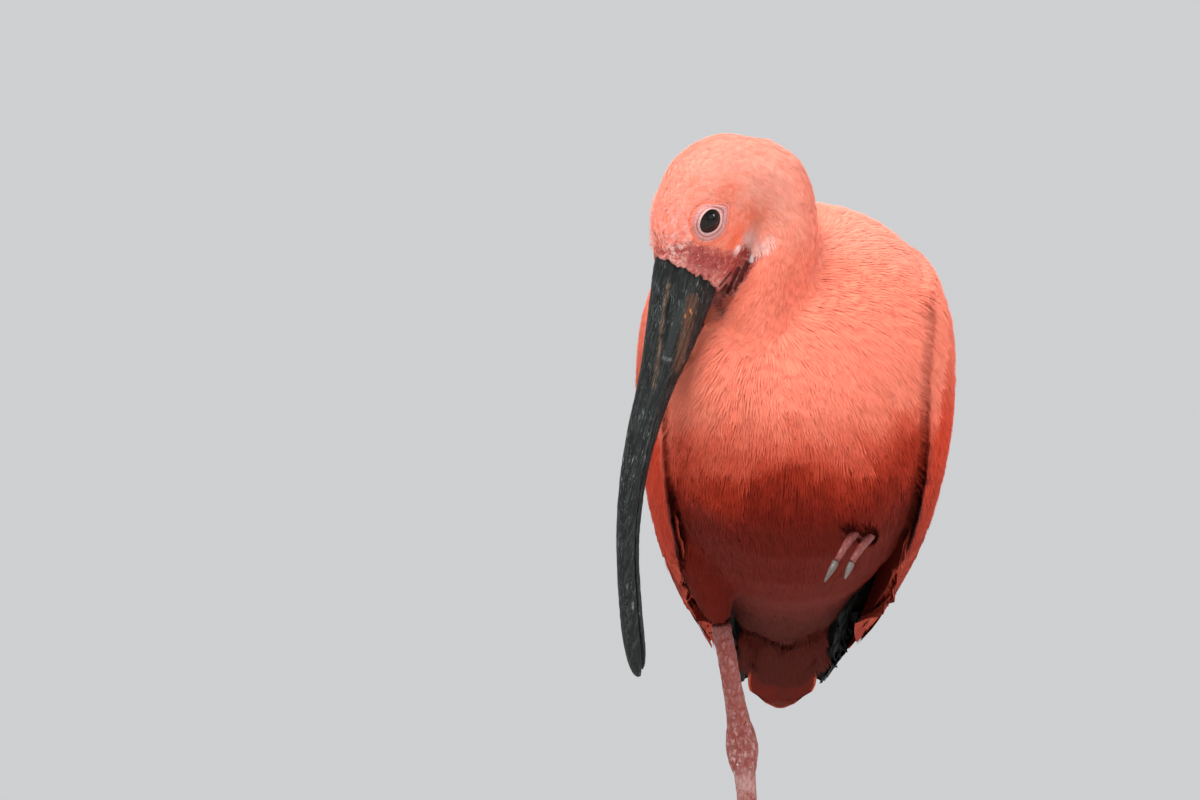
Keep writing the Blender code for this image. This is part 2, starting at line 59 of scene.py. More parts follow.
Material = bpy.types.Material
Mesh = bpy.types.Mesh
Socket = bpy.types.NodeSocket
LOG = logging.getLogger("scarlet_ibis")
MM = 0.001
BODY = "root"
SIDES = (("left", 1), ("right", -1))


def unit(vectors: Array) -> Array:
    """Gives vectors of length one along the last axis."""
    return vectors / np.maximum(np.linalg.norm(vectors, axis=-1, keepdims=True), 1e-12)


def dot(a: Array, b: Array) -> Array:
    """Gives the dot product along the last axis, which is kept."""
    return (a * b).sum(axis=-1, keepdims=True)


def flat_to(vectors: Array, normals: Array) -> Array:
    """Gives unit vectors laid flat to a surface."""
    return unit(vectors - normals * dot(vectors, normals))


def soft_step(low: float, high: float, value: Array) -> Array:
    """Rises smoothly from 0 at low to 1 at high."""
    share = np.clip((value - low) / (high - low), 0.0, 1.0)
    return share * share * (3.0 - 2.0 * share)


def share_of_range(values: Array) -> Array:
    """Gives values as shares of their own range, from 0 to 1."""
    return (values - values.min()) / (values.max() - values.min())


def hump(value: Array, middle: Array | float, width: Array | float,
         power: int = 2) -> Array:
    """Peaks at 1 in the middle and falls off beyond the width, more squarely with a higher power."""
    return np.exp(-(((value - middle) / width) ** power))


def ripple(points: Array, wavelength: float, seed: int) -> Array:
    """Gives smooth, uneven noise of about -1 to 1 over points in space.

    Args:
        points: Places as rows of three numbers.
        wavelength: Length of the broadest waves.
        seed: Number that picks the pattern.

    Returns:
        One value for each point.
    """
    octaves = 3
    waves_each = 6
    rng = np.random.default_rng(seed)
    total = np.zeros(points.shape[:-1])
    for octave in range(octaves):
        for _ in range(waves_each):
            direction = unit(rng.normal(size=3)) * rng.uniform(0.6, 1.4)
            phase = rng.uniform(0.0, 2.0 * math.pi)
            waves = points @ direction * (2.0 * math.pi * 2**octave / wavelength) + phase
            total += np.sin(waves) * 0.5**octave
    return total / 3.0


def curve_through(rows: Array, place: Array) -> Array:
    """Reads the smooth curve through rows of numbers, the same one that shapes the solids.

    Args:
        rows: Numbers, one row for each station.
        place: Where to read, from 0 at the first row on; places past the ends run on straight.

    Returns:
        One row of numbers for each place.
    """
    last = len(rows) - 1
    index = np.clip(np.floor(place).astype(int), 0, last - 1)
    t = (place - index)[..., None]
    start, end = rows[index], rows[index + 1]
    slope_in = 0.5 * (end - rows[np.maximum(index - 1, 0)])
    slope_out = 0.5 * (rows[np.minimum(index + 2, last)] - start)
    rise = end - start
    bend = 3 * rise - 2 * slope_in - slope_out
    inside = start + t * (slope_in + t * (bend + t * (slope_in + slope_out - 2 * rise)))
    beyond = np.where(t < 0, start + t * slope_in, end + (t - 1) * slope_out)
    return np.where((t < 0) | (t > 1), beyond, inside)


@dataclass(frozen=True)
class HeadFrame:
    """The head's own axes, found from the two eyes in the frame."""

    eye_back: float = 21.9 * MM
    eye_up: float = 4.2 * MM
    bill_lean: tuple = (-0.257, -0.085, -0.966)
    eyes: dict = field(default_factory=lambda: {
        side: HeadFrame.middle_of("eye_" + side) for side, _ in SIDES})

    @staticmethod
    def middle_of(node: str) -> Array:
        """Gives the middle of a node's box."""
        low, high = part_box(node)
        return np.array((low + high) / 2)

    @cached_property
    def left(self) -> Array:
        """Unit vector to the head's left."""
        return unit(self.eyes["left"] - self.eyes["right"])

    @cached_property
    def ahead(self) -> Array:
        """Unit vector along the bill."""
        lean = np.array(self.bill_lean)
        return unit(lean - self.left * (lean @ self.left))

    @cached_property
    def up(self) -> Array:
        """Unit vector to the crown."""
        return np.cross(self.ahead, self.left)

    @cached_property
    def base(self) -> Array:
        """Middle of the bill's base, which the head's places are counted from."""
        middle = (self.eyes["left"] + self.eyes["right"]) / 2
        return middle + self.ahead * self.eye_back - self.up * self.eye_up

    def local(self, points: Array) -> Array:
        """Gives places ahead, left and up of the bill's base, in millimetres."""
        return (points - self.base) @ np.stack([self.ahead, self.left, self.up], axis=1) / MM

    def world(self, ahead: Array, left: Array, up: Array) -> Array:
        """Gives places in the frame from head places in millimetres."""
        pairs = ((ahead, self.ahead), (left, self.left), (up, self.up))
        parts = [np.asarray(value)[..., None] * axis for value, axis in pairs]
        return self.base + (parts[0] + parts[1] + parts[2]) * MM


HEAD = HeadFrame()

# The solids' script counts places from this point, where the bill's base is written in its own numbers.
DRAWN_BILL_BASE = np.array((-42.8, -69.0, 270.4)) * MM
SHIFT = HEAD.base - DRAWN_BILL_BASE


def drawn(*millimetres: float) -> Array:
    """Gives the place in the frame of a point that is written as the solids' script writes it."""
    return np.array(millimetres) * MM + SHIFT


class Signal:
    """A node's output that takes part in arithmetic and adds its Math nodes."""

    def __init__(self, sheet: "NodeSheet", socket: Socket) -> None:
        """Wraps a socket of a node on a sheet."""
        self.sheet = sheet
        self.socket = socket

    def _math(self, operation: str, *values: "Signal | float") -> "Signal":
        """Adds one Math node."""
        return self.sheet.add("ShaderNodeMath", {"operation": operation}, dict(enumerate(values)))

    def __add__(self, other: "Signal | float") -> "Signal":
        """Adds."""
        return self._math("ADD", self, other)

    __radd__ = __add__

    def __sub__(self, other: "Signal | float") -> "Signal":
        """Subtracts."""
        return self._math("SUBTRACT", self, other)

    def __rsub__(self, other: float) -> "Signal":
        """Subtracts from a number."""
        return self._math("SUBTRACT", other, self)

    def __mul__(self, other: "Signal | float") -> "Signal":
        """Multiplies."""
        return self._math("MULTIPLY", self, other)

    __rmul__ = __mul__

    def __truediv__(self, other: "Signal | float") -> "Signal":
        """Divides."""
        return self._math("DIVIDE", self, other)

    def __pow__(self, other: float) -> "Signal":
        """Raises to a power."""
        return self._math("POWER", self, other)

    def __abs__(self) -> "Signal":
        """Drops the sign."""
        return self._math("ABSOLUTE", self)

    def sine(self) -> "Signal":
        """Gives the sine."""
        return self._math("SINE", self)

    def least(self, other: "Signal | float") -> "Signal":
        """Gives the smaller of two values."""
        return self._math("MINIMUM", self, other)

    def most(self, other: "Signal | float") -> "Signal":
        """Gives the larger of two values."""
        return self._math("MAXIMUM", self, other)

    def rise(self, low: float, high: float) -> "Signal":
        """Rises smoothly from 0 at low to 1 at high."""
        inputs = {"Value": self, "From Min": low, "From Max": high}
        return self.sheet.add("ShaderNodeMapRange", {"interpolation_type": "SMOOTHSTEP"}, inputs)

    def hill(self, middle: float, half_width: float) -> "Signal":
        """Peaks at 1 in the middle and falls smoothly to 0 at the half width."""
        return 1 - (abs(self - middle) / half_width).rise(0.0, 1.0)


class NodeSheet:
    """The nodes of one material."""

    def __init__(self, name: str) -> None:
        """Makes the material with its shader and output only."""
        self.material = bpy.data.materials.new(name)
        self.material.use_nodes = True
        self.tree = self.material.node_tree
        self.shader = self.tree.nodes["Principled BSDF"]

    def add(self, kind: str, settings: dict | None = None, inputs: dict | None = None,
            output: int | str = 0) -> Signal:
        """Adds a node.

        Args:
            kind: The node's type.
            settings: Its properties, which are set first.
            inputs: Values or signals by socket name or number.
            output: Which output to return.

        Returns:
            The output as a signal.
        """
        node = self.tree.nodes.new(kind)
        for name, value in (settings or {}).items():
            setattr(node, name, value)
        for name, value in (inputs or {}).items():
            self.feed(node.inputs[name], value)
        return Signal(self, node.outputs[output])

    def feed(self, socket: Socket, value: "Signal | Tint | float | tuple") -> None:
        """Links a signal to a socket or sets its value.

        Args:
            socket: The node's input.
            value: What it takes.
        """
        value = value.value if isinstance(value, Enum) else value
        if isinstance(value, Signal):
            self.tree.links.new(value.socket, socket)
        elif isinstance(value, tuple) and len(value) == 3 and socket.type == "RGBA":
            socket.default_value = (*value, 1.0)
        else:
            socket.default_value = value

    def shade(self, **inputs: "Signal | float | tuple") -> None:
        """Feeds the shader's sockets, whose names are written with underscores."""
        for name, value in inputs.items():
            self.feed(self.shader.inputs[name.replace("_", " ")], value)

    def blend(self, share: "Signal | float", first: "Signal | Tint | tuple", second: "Signal | Tint | tuple",
              way: str = "MIX") -> Signal:
        """Mixes two colours."""
        settings = {"data_type": "RGBA", "blend_type": way}
        return self.add("ShaderNodeMix", settings, {0: share, 6: first, 7: second}, 2)

    def paint(self, colour: "Signal | Tint", *layers: tuple) -> Signal:
        """Lays colours over one another.

        Args:
            colour: The lowest colour.
            layers: Pairs of a share and the colour that it brings, in order.

        Returns:
            The mixed colour.
        """
        for share, tint in layers:
            colour = self.blend(share, colour, tint)
        return colour

    def vector(self, operation: str, *values: "Signal | tuple", output: int = 0) -> Signal:
        """Adds one Vector Math node, whose output 1 is a plain number."""
        return self.add("ShaderNodeVectorMath", {"operation": operation}, dict(enumerate(values)), output)

    def place(self) -> Signal:
        """Gives the place on the object, in metres."""
        return self.add("ShaderNodeTexCoord", output="Object")

    def read(self, name: str) -> Signal:
        """Gives a mesh attribute as a vector."""
        return self.add("ShaderNodeAttribute", {"attribute_name": name}, output="Vector")

    def parts(self, vector: Signal) -> list[Signal]:
        """Splits a vector into its three numbers."""
        node = self.add("ShaderNodeSeparateXYZ", inputs={0: vector}).socket.node
        return [Signal(self, output) for output in node.outputs]

    def millimetres(self, place: Signal) -> list[Signal]:
        """Splits a place into its three numbers, in millimetres."""
        return self.parts(self.stretch(place, (1 / MM,) * 3))

    def along(self, vector: Signal, axis: Array, start: float = 0.0) -> Signal:
        """Measures a place along an axis, in millimetres, from a start on it."""
        return self.vector("DOT_PRODUCT", vector, tuple(axis / MM), output=1) - start

    def stretch(self, vector: Signal, sizes: tuple) -> Signal:
        """Scales a vector by three numbers."""
        return self.vector("MULTIPLY", vector, sizes)

    def noise(self, vector: Signal, scale: float, detail: float = 3.0, roughness: float = 0.55) -> Signal:
        """Gives fractal noise from 0 to 1."""
        inputs = {"Vector": vector, "Scale": scale, "Detail": detail, "Roughness": roughness}
        return self.add("ShaderNodeTexNoise", {}, inputs)

    def cells(self, vector: Signal, scale: float, feature: str = "F1") -> Signal:
        """Gives the distance in a pattern of cells."""
        return self.add("ShaderNodeTexVoronoi", {"feature": feature}, {"Vector": vector, "Scale": scale})

    def bump(self, height: Signal, depth: float) -> Signal:
        """Gives the normal of a surface with that height, whose full range is a depth in metres."""
        return self.add("ShaderNodeBump", {}, {"Height": height, "Distance": depth, "Strength": 1.0})


class WorldSheet(NodeSheet):
    """The nodes of the world."""

    def __init__(self, name: str) -> None:
        """Makes the world with its background only."""
        self.world = bpy.data.worlds.new(name)
        self.world.use_nodes = True
        self.tree = self.world.node_tree
        self.shader = self.tree.nodes["Background"]


class Tint(Enum):
    """Colours of the bird, as linear red, green and blue; some of them are painted light and shade."""

    # Painted highlight: the pale tone of the plumage's lit top.
    TOP_HIGHLIGHT = (0.97, 0.40, 0.30)
    # Bright red that carries painted light on the upper plumage and the shoulder; also the vanes' paler
    # edges.
    SALMON = (0.98, 0.275, 0.18)
    SCARLET = (0.70, 0.062, 0.026)
    # Darker red of barbs, shafts and streaks, and the first step of painted shade down the body.
    CRIMSON = (0.25, 0.018, 0.009)
    # Painted shade: deep reds of the shaded belly, vent and tail.
    BELLY_SHADE = (0.15, 0.0125, 0.0070)
    VENT_SHADE = (0.080, 0.0080, 0.0045)
    ORANGE = (0.90, 0.155, 0.066)
    WING = (0.67, 0.059, 0.024)
    # Painted shade: the darker red of the wings' lower parts.
    WING_LOW_SHADE = (0.34, 0.026, 0.012)
    DOWN = (0.98, 0.66, 0.61)
    INK = (0.006, 0.007, 0.006)
    INK_RIB = (0.010, 0.012, 0.013)
    INK_SHAFT = (0.020, 0.018, 0.017)
    FACE_RED = (0.47, 0.082, 0.063)
    FACE_DARK = (0.34, 0.040, 0.036)
    FACE_PALE = (0.80, 0.35, 0.29)
    FACE_WHITE = (0.76, 0.70, 0.74)
    FACE_FLECK = (0.85, 0.66, 0.50)
    # Painted shade in the creases of the bare face.
    CREASE_SHADE = (0.10, 0.010, 0.012)
    LID = (0.70, 0.25, 0.21)
    LID_GREY = (0.58, 0.36, 0.37)
    LID_INNER = (0.84, 0.52, 0.48)
    # Painted shade in the fold that runs round the lids.
    LID_FOLD_SHADE = (0.40, 0.07, 0.06)
    LID_EDGE = (0.16, 0.05, 0.05)
    BILL = (0.005, 0.006, 0.006)
    BILL_GREY = (0.030, 0.037, 0.035)
    BILL_SCUFF = (0.30, 0.33, 0.32)
    BILL_TAN = (0.34, 0.20, 0.13)
    BILL_BROWN = (0.125, 0.056, 0.032)
    BILL_RUST = (0.60, 0.21, 0.07)
    # Painted shade inside the nostril's slit.
    NOSTRIL_SHADE = (0.06, 0.012, 0.008)
    SHANK = (0.34, 0.105, 0.085)
    SHANK_RED = (0.30, 0.045, 0.034)
    SHANK_PALE = (0.60, 0.34, 0.32)
    SHANK_SPECK = (0.82, 0.80, 0.80)
    # Painted shade on the toes tucked under the belly.
    TUCKED_TOE_SHADE = (0.17, 0.035, 0.030)
    CLAW = (0.115, 0.088, 0.078)
    CLAW_TIP = (0.22, 0.20, 0.18)
    CLAW_GRAIN = (0.10, 0.075, 0.065)
    PUPIL = (0.002, 0.002, 0.002)
    IRIS = (0.006, 0.004, 0.003)
    IRIS_FIBRE = (0.012, 0.008, 0.006)
    IRIS_RIM = (0.05, 0.012, 0.012)


class Patch(Enum):
    """Round places on the head: ahead, left, up and radius, in head millimetres."""

    OVER_EYE = (-33.0, 15.0, 3.0, 9.0)
    BEHIND_EYE = (-28.0, 13.5, -9.0, 10.0)
    UNDER_EYE = (-17.0, 12.0, -9.5, 9.0)
    CHEEK = (-14.5, 10.2, -13.5, 5.5)
    JAW = (-18.5, 10.8, -17.0, 7.2)
    JAW_END = (-22.3, 12.5, -20.4, 5.5)
    FOREHEAD = (-12.0, 5.0, 14.0, 15.0)
    BARE_FACE = (-10.0, 0.0, 0.0, 60.0)
    FACE_SHADOW = (-7.0, 12.0, -1.0, 12.0)
    OVER_LORES = (-8.0, 8.0, 12.0, 9.0)
    LORES = (-6.0, 10.5, 4.0, 9.0)
    HEAD = (-30.0, 0.0, 0.0, 45.0)
    HEAD_AND_NECK = (-30.0, 0.0, 0.0, 70.0)


class Markings:
    """The plumage's colours as a pattern in space, shared by skin and coat; bands by height paint light on
    the top and shade below, over one scarlet.
    """

    # Heights in millimetres over which one colour turns to the next: painted shade deepens below and painted
    # light brightens above.
    CRIMSON_SHADE_BELOW = (216.0, 186.0)
    BELLY_SHADE_BELOW = (198.0, 174.0)
    LIT_SALMON_ABOVE = (197.0, 233.0)
    HIGHLIGHT_ABOVE = (266.0, 322.0)
    WING_SHADE_BELOW = (205.0, 160.0)

    def __init__(self, sheet: NodeSheet, place: Signal) -> None:
        """Keeps the sheet and works out the places that the pattern needs."""
        self.sheet = sheet
        self.place = place
        self.side, self.back, self.height = sheet.millimetres(place)
        axes = (HEAD.ahead, HEAD.left, HEAD.up)
        self.ahead, self.left, self.up = (
            sheet.along(place, axis, float(HEAD.base @ axis) / MM) for axis in axes)

    def near(self, patch: Patch) -> Signal:
        """Gives 1 in the middle of a patch, falling softly to 0 at its radius.

        Args:
            patch: The place and its radius.

        Returns:
            The share as a signal.
        """
        ahead, left, up, radius = patch.value
        gap = self.sheet.vector("DISTANCE", self.place, tuple(HEAD.world(ahead, left, up)), output=1)
        return 1 - (gap / (radius * MM)).rise(0.0, 1.0)

    def plumage(self) -> Signal:
        """Gives the feathers' colour: one scarlet, with painted shade that deepens down the body to the vent,
        and painted light on the top and front.

        Returns:
            The colour as a signal.
        """
        level = self.level()
        in_front = 1 - self.back.rise(-45.0, 0.0) * 0.8
        # Painted highlight: the plumage turns pale on the top and front.
        pale = level.rise(*self.HIGHLIGHT_ABOVE) * in_front * (1 - self.side.rise(-6.0, 12.0) * 0.6)
        behind = self.back.rise(-20.0, 45.0) * level.rise(200.0, 225.0)
        # Painted shade under the tail's base, at the vent.
        vent_shade = (self.back * 0.8 - self.height).rise(-165.0, -105.0) * (1 - self.height.rise(150.0, 185.0))
        return self.sheet.paint(
            # Painted shade below, then painted light above, over the real scarlet.
            Tint.SCARLET,
            (level.rise(*self.CRIMSON_SHADE_BELOW), Tint.CRIMSON),
            (level.rise(*self.BELLY_SHADE_BELOW), Tint.BELLY_SHADE),
            (level.rise(*self.LIT_SALMON_ABOVE), Tint.SALMON),
            (pale, Tint.TOP_HIGHLIGHT),
            (behind * 0.55, Tint.WING),
            (vent_shade * 0.95, Tint.VENT_SHADE),
        )

    def level(self) -> Signal:
        """Gives the height that the painted light and shade go by, cloudy, raised on the back and by the
        thigh so that less shade is painted there, and lowered on the left flank to paint more.

        Returns:
            The height in millimetres as a signal.
        """
        broad = self.sheet.noise(self.place, 34.0)
        fine = self.sheet.noise(self.place, 170.0)
        # Less painted shade on the back and by the thigh, more painted shade on the left flank.
        dorsal = (self.height + self.back * 0.7).rise(212.0, 238.0)
        left_flank_shade = self.side.rise(24.0, 58.0) * (1 - self.height.rise(232.0, 268.0))
        by_thigh = (0 - self.side).rise(6.0, 46.0) * (1 - self.height.rise(160.0, 192.0))
        cloudy = self.height + (broad - 0.5) * 44 + (fine - 0.5) * 16
        return cloudy + dorsal * 42 - left_flank_shade * 14 + by_thigh * 13

    def wing(self) -> Signal:
        """Gives the wings' redder colour, with painted shade on their lower parts and a painted highlight on
        the shoulder.

        Returns:
            The colour as a signal.
        """
        # Painted highlight on the shoulder; painted shade low on the wing.
        shoulder_light = self.height.rise(215.0, 262.0) * (1 - self.back.rise(-50.0, 10.0))
        low = self.level().rise(*self.WING_SHADE_BELOW)
        return self.sheet.paint(Tint.WING, (low, Tint.WING_LOW_SHADE), (shoulder_light * 0.75, Tint.SALMON))

    def head(self, colour: Signal) -> Signal:
        """Adds the head's own marks to the feathers' colour.

        Args:
            colour: The feathers' colour without the marks.

        Returns:
            The colour with them.
        """
        sheet = self.sheet
        mottle = sheet.noise(self.place, 420.0)
        over_eye = self.near(Patch.OVER_EYE).most(self.near(Patch.BEHIND_EYE))
        under_eye = self.near(Patch.UNDER_EYE)
        by_eye = (over_eye * 0.75).most(under_eye * 1.2).least(1.0) * mottle.rise(0.3, 0.6)
        pale = self.near(Patch.CHEEK).most(self.near(Patch.JAW) * 1.6)
        pale = pale.most(self.near(Patch.JAW_END) * 1.2).least(1.0)
        front = self.near(Patch.FOREHEAD) * mottle.rise(0.42, 0.6) * 0.8
        smudge = self.near(Patch.HEAD) * sheet.noise(self.place, 120.0, 2.0).rise(0.5, 0.7)
        speckle = self.near(Patch.HEAD_AND_NECK).rise(0.0, 0.4)
        speckle = speckle * sheet.noise(self.place, 900.0, 2.0).rise(0.48, 0.66)
        return sheet.paint(
            colour,
            (by_eye, Tint.ORANGE),
            ((pale * mottle.rise(0.25, 0.5)).most(front), Tint.DOWN),
            (smudge * 0.3, Tint.ORANGE),
            (speckle * 0.32, Tint.ORANGE),
        )

    def colour(self) -> Signal:
        """Gives the feathers' colour everywhere."""
        return self.head(self.plumage())


def arrays_of(mesh: Mesh) -> tuple[Array, Array]:
    """Gives a mesh's points and triangles as arrays.

    Returns:
        Points as rows of three numbers and triangles as rows of three indices.
    """
    points = np.empty(len(mesh.vertices) * 3, dtype=np.float32)
    mesh.vertices.foreach_get("co", points)
    mesh.calc_loop_triangles()
    triangles = np.empty(len(mesh.loop_triangles) * 3, dtype=np.int32)
    mesh.loop_triangles.foreach_get("vertices", triangles)
    return points.reshape(-1, 3).astype(np.float64), triangles.reshape(-1, 3)


def write_points(mesh: Mesh, points: Array) -> None:
    """Moves a mesh's points."""
    mesh.vertices.foreach_set("co", points.astype(np.float32).ravel())
    mesh.update()


def triangle_mesh(name: str, points: Array, triangles: Array) -> Mesh:
    """Makes a smooth mesh of triangles from arrays.

    Args:
        name: The mesh's name.
        points: Places as rows of three numbers.
        triangles: Rows of three indices.

    Returns:
        The mesh.
    """
    mesh = bpy.data.meshes.new(name)
    mesh.vertices.add(len(points))
    mesh.vertices.foreach_set("co", points.astype(np.float32).ravel())
    mesh.loops.add(triangles.size)
    mesh.loops.foreach_set("vertex_index", triangles.astype(np.int32).ravel())
    mesh.polygons.add(len(triangles))
    mesh.polygons.foreach_set("loop_start", np.arange(0, triangles.size, 3, dtype=np.int32))
    mesh.update(calc_edges=True)
    mesh.shade_smooth()
    return mesh


def mirrored(local: Array) -> Array:
    """Gives head places brought over to the left side."""
    return np.stack([local[:, 0], np.abs(local[:, 1]), local[:, 2]], axis=1)


def chained(parts: list) -> tuple[Array, Array]:
    """Gives the points and triangles of several parts as one pair of arrays.

    Args:
        parts: Rows that begin with a part's points and triangles.

    Returns:
        All points, and the triangles renumbered to them.
    """
    starts = np.cumsum([0] + [len(part[0]) for part in parts])
    points = np.concatenate([part[0] for part in parts])
    return points, np.concatenate([part[1] + start for part, start in zip(parts, starts)])


def placed(name: str, data: bpy.types.ID) -> bpy.types.Object:
    """Puts a new object with that data into the scene.

    Args:
        name: The object's name.
        data: A mesh, light or camera.

    Returns:
        The object.
    """
    obj = bpy.data.objects.new(name, data)
    bpy.context.collection.objects.link(obj)
    return obj


def mesh_of(bm: bmesh.types.BMesh, name: str) -> Mesh:
    """Turns a working mesh into a plain one and frees it.

    Args:
        bm: The working mesh.
        name: The plain mesh's name.

    Returns:
        The plain mesh.
    """
    mesh = bpy.data.meshes.new(name)
    bm.to_mesh(mesh)
    bm.free()
    return mesh


def modified(draft: Mesh, kind: str, **settings: float | str) -> Mesh:
    """Gives a mesh as one modifier changes it.

    Args:
        draft: The mesh to start from.
        kind: The modifier's type.
        settings: Its properties by name.

    Returns:
        The changed mesh.
    """
    holder = placed("draft", draft)
    modifier = holder.modifiers.new("change", kind)
    for name, value in settings.items():
        setattr(modifier, name, value)
    graph = bpy.context.evaluated_depsgraph_get()
    mesh = bpy.data.meshes.new_from_object(holder.evaluated_get(graph))
    bpy.data.objects.remove(holder)
    return mesh


def face_vectors(points: Array, triangles: Array) -> Array:
    """Gives each triangle's normal, twice as long as its area."""
    corners = points[triangles]
    return np.cross(corners[:, 1] - corners[:, 0], corners[:, 2] - corners[:, 0])


def point_normals(points: Array, triangles: Array) -> Array:
    """Gives a smooth normal at each point."""
    facing = np.repeat(face_vectors(points, triangles), 3, axis=0)
    return unit(sum_at(triangles.ravel(), facing, len(points)))


def sum_at(index: Array, values: Array, count: int) -> Array:
    """Adds up rows of values at their index."""
    return np.stack([np.bincount(index, values[:, axis], count) for axis in range(values.shape[1])], axis=1)


def write_vectors(mesh: Mesh, name: str, values: Array) -> None:
    """Writes a vector for each point as a mesh attribute."""
    attribute = mesh.attributes.new(name, "FLOAT_VECTOR", "POINT")
    attribute.data.foreach_set("vector", values.astype(np.float32).ravel())


class Piece:
    """One finished object that rides on the bird."""

    def __init__(self, name: str, mesh: Mesh, materials: list, slot: str,
                 nodes: tuple = ()) -> None:
        """Places the object, dresses it and hides the solids of the frame that it replaces.

        Args:
            name: The piece's name.
            mesh: Its mesh.
            materials: Its materials, in the order that the mesh's faces number them.
            slot: Not used.
            nodes: The solids of the frame that it replaces.
        """
        self.obj = placed(name, mesh)
        for material in materials:
            mesh.materials.append(material)
        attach(self.obj, BODY)
        if nodes:
            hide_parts(*nodes)
        LOG.info("%s: %d faces", name, len(mesh.polygons))


class Surface:
    """Triangles that feathers lie on, with smooth normals and the nearest place."""

    def __init__(self, points: Array, triangles: Array) -> None:
        """Keeps the arrays and sorts the triangles for fast searches."""
        self.points = points
        self.triangles = triangles
        self.normals = point_normals(points, triangles)
        self.tree = BVHTree.FromPolygons(points.tolist(), triangles.tolist())

    @staticmethod
    def joined(surfaces: list["Surface"]) -> "Surface":
        """Gives one surface of several."""
        return Surface(*chained([(surface.points, surface.triangles) for surface in surfaces]))

    def areas(self) -> Array:
        """Gives each triangle's area."""
        return np.linalg.norm(face_vectors(self.points, self.triangles), axis=1) / 2

    def centres(self) -> Array:
        """Gives each triangle's middle."""
        return self.points[self.triangles].mean(axis=1)

    def smooth_normals(self, places: Array, faces: Array) -> Array:
        """Gives the normal at places on triangles, smooth across their edges.

        Args:
            places: Points on triangles.
            faces: Each point's triangle.

        Returns:
            One normal for each place.
        """
        corners = self.points[self.triangles[faces]]
        gaps = np.linalg.norm(corners - places[:, None, :], axis=2) + 1e-7
        return unit((self.normals[self.triangles[faces]] / gaps[..., None]).sum(axis=1))

    def nearest(self, places: Array) -> tuple[Array, Array]:
        """Gives the nearest points on the surface and the normals there.

        Args:
            places: Points near the surface.

        Returns:
            The points on it and their normals.
        """
        found = [self.tree.find_nearest(place) for place in places.tolist()]
        points = np.array([hit[0] for hit in found])
        return points, self.smooth_normals(points, np.array([hit[2] for hit in found]))

    def distance(self, places: Array) -> Array:
        """Gives how far places are from the surface."""
        return np.array([self.tree.find_nearest(place)[3] for place in places.tolist()])

    def hit(self, places: Array, directions: Array, reach: float) -> Array:
        """Gives how far a ray goes before it hits, or infinity.

        Args:
            places: Where the rays start.
            directions: Their unit vectors.
            reach: How far they go at most.

        Returns:
            One distance for each ray.
        """
        rays = zip(places.tolist(), directions.tolist())
        hits = [self.tree.ray_cast(place, way, reach)[3] for place, way in rays]
        return np.array([math.inf if gap is None else gap for gap in hits])

    def scatter(self, count: int, weights: Array,
                rng: np.random.Generator) -> tuple[Array, Array]:
        """Picks roots spread over the triangles.

        Args:
            count: How many roots.
            weights: Density of each triangle.
            rng: Seeded source of chance.

        Returns:
            The roots and their normals.
        """
        chance = np.cumsum(self.areas() * weights)
        steps = (np.arange(count) + rng.random(count)) / count * chance[-1]
        faces = np.minimum(np.searchsorted(chance, steps), len(self.triangles) - 1)
        first, second = rng.random((2, count, 1))
        over = first + second > 1
        first, second = np.where(over, 1 - first, first), np.where(over, 1 - second, second)
        corners = self.points[self.triangles[faces]]
        places = corners[:, 0] * (1 - first - second) + corners[:, 1] * first + corners[:, 2] * second
        return places, self.smooth_normals(places, faces)


class Flesh:
    """Copies of the frame's solids, made one and soft."""

    def __init__(self, nodes: tuple, swell: float = 0.0) -> None:
        """Joins copies of the solids.

        Args:
            nodes: Names of the solids.
            swell: How far their faces move out, so that neighbours meet.
        """
        self.bm = bmesh.new()
        for name in nodes:
            self.bm.from_mesh(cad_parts[name].data)
        bmesh.ops.remove_doubles(self.bm, verts=self.bm.verts, dist=1e-6)
        self.bm.normal_update()
        for vert in self.bm.verts:
            vert.co += vert.normal * swell

    def remeshed(self, voxel: float) -> Mesh:
        """Gives one even mesh round all the solids."""
        return modified(mesh_of(self.bm, "draft"), "REMESH", mode="VOXEL", voxel_size=voxel)

    @staticmethod
    def soften(mesh: Mesh, rounds: int, share: Array | float = 1.0) -> None:
        """Evens out a mesh.

        Args:
            mesh: The mesh to change.
            rounds: How many times each point moves towards its neighbours.
            share: How much of that each point takes.
        """
        points, _ = arrays_of(mesh)
        edges = np.empty(len(mesh.edges) * 2, dtype=np.int32)
        mesh.edges.foreach_get("vertices", edges)
        edges = edges.reshape(-1, 2)
        index = np.concatenate([edges[:, 0], edges[:, 1]])
        others = np.concatenate([edges[:, 1], edges[:, 0]])
        count = np.maximum(np.bincount(index, minlength=len(points)), 1)[:, None]
        pull = np.broadcast_to(np.asarray(share) * 0.5, (len(points),))[:, None]
        for _ in range(rounds):
            points += (sum_at(index, points[others], len(points)) / count - points) * pull
        write_points(mesh, points)


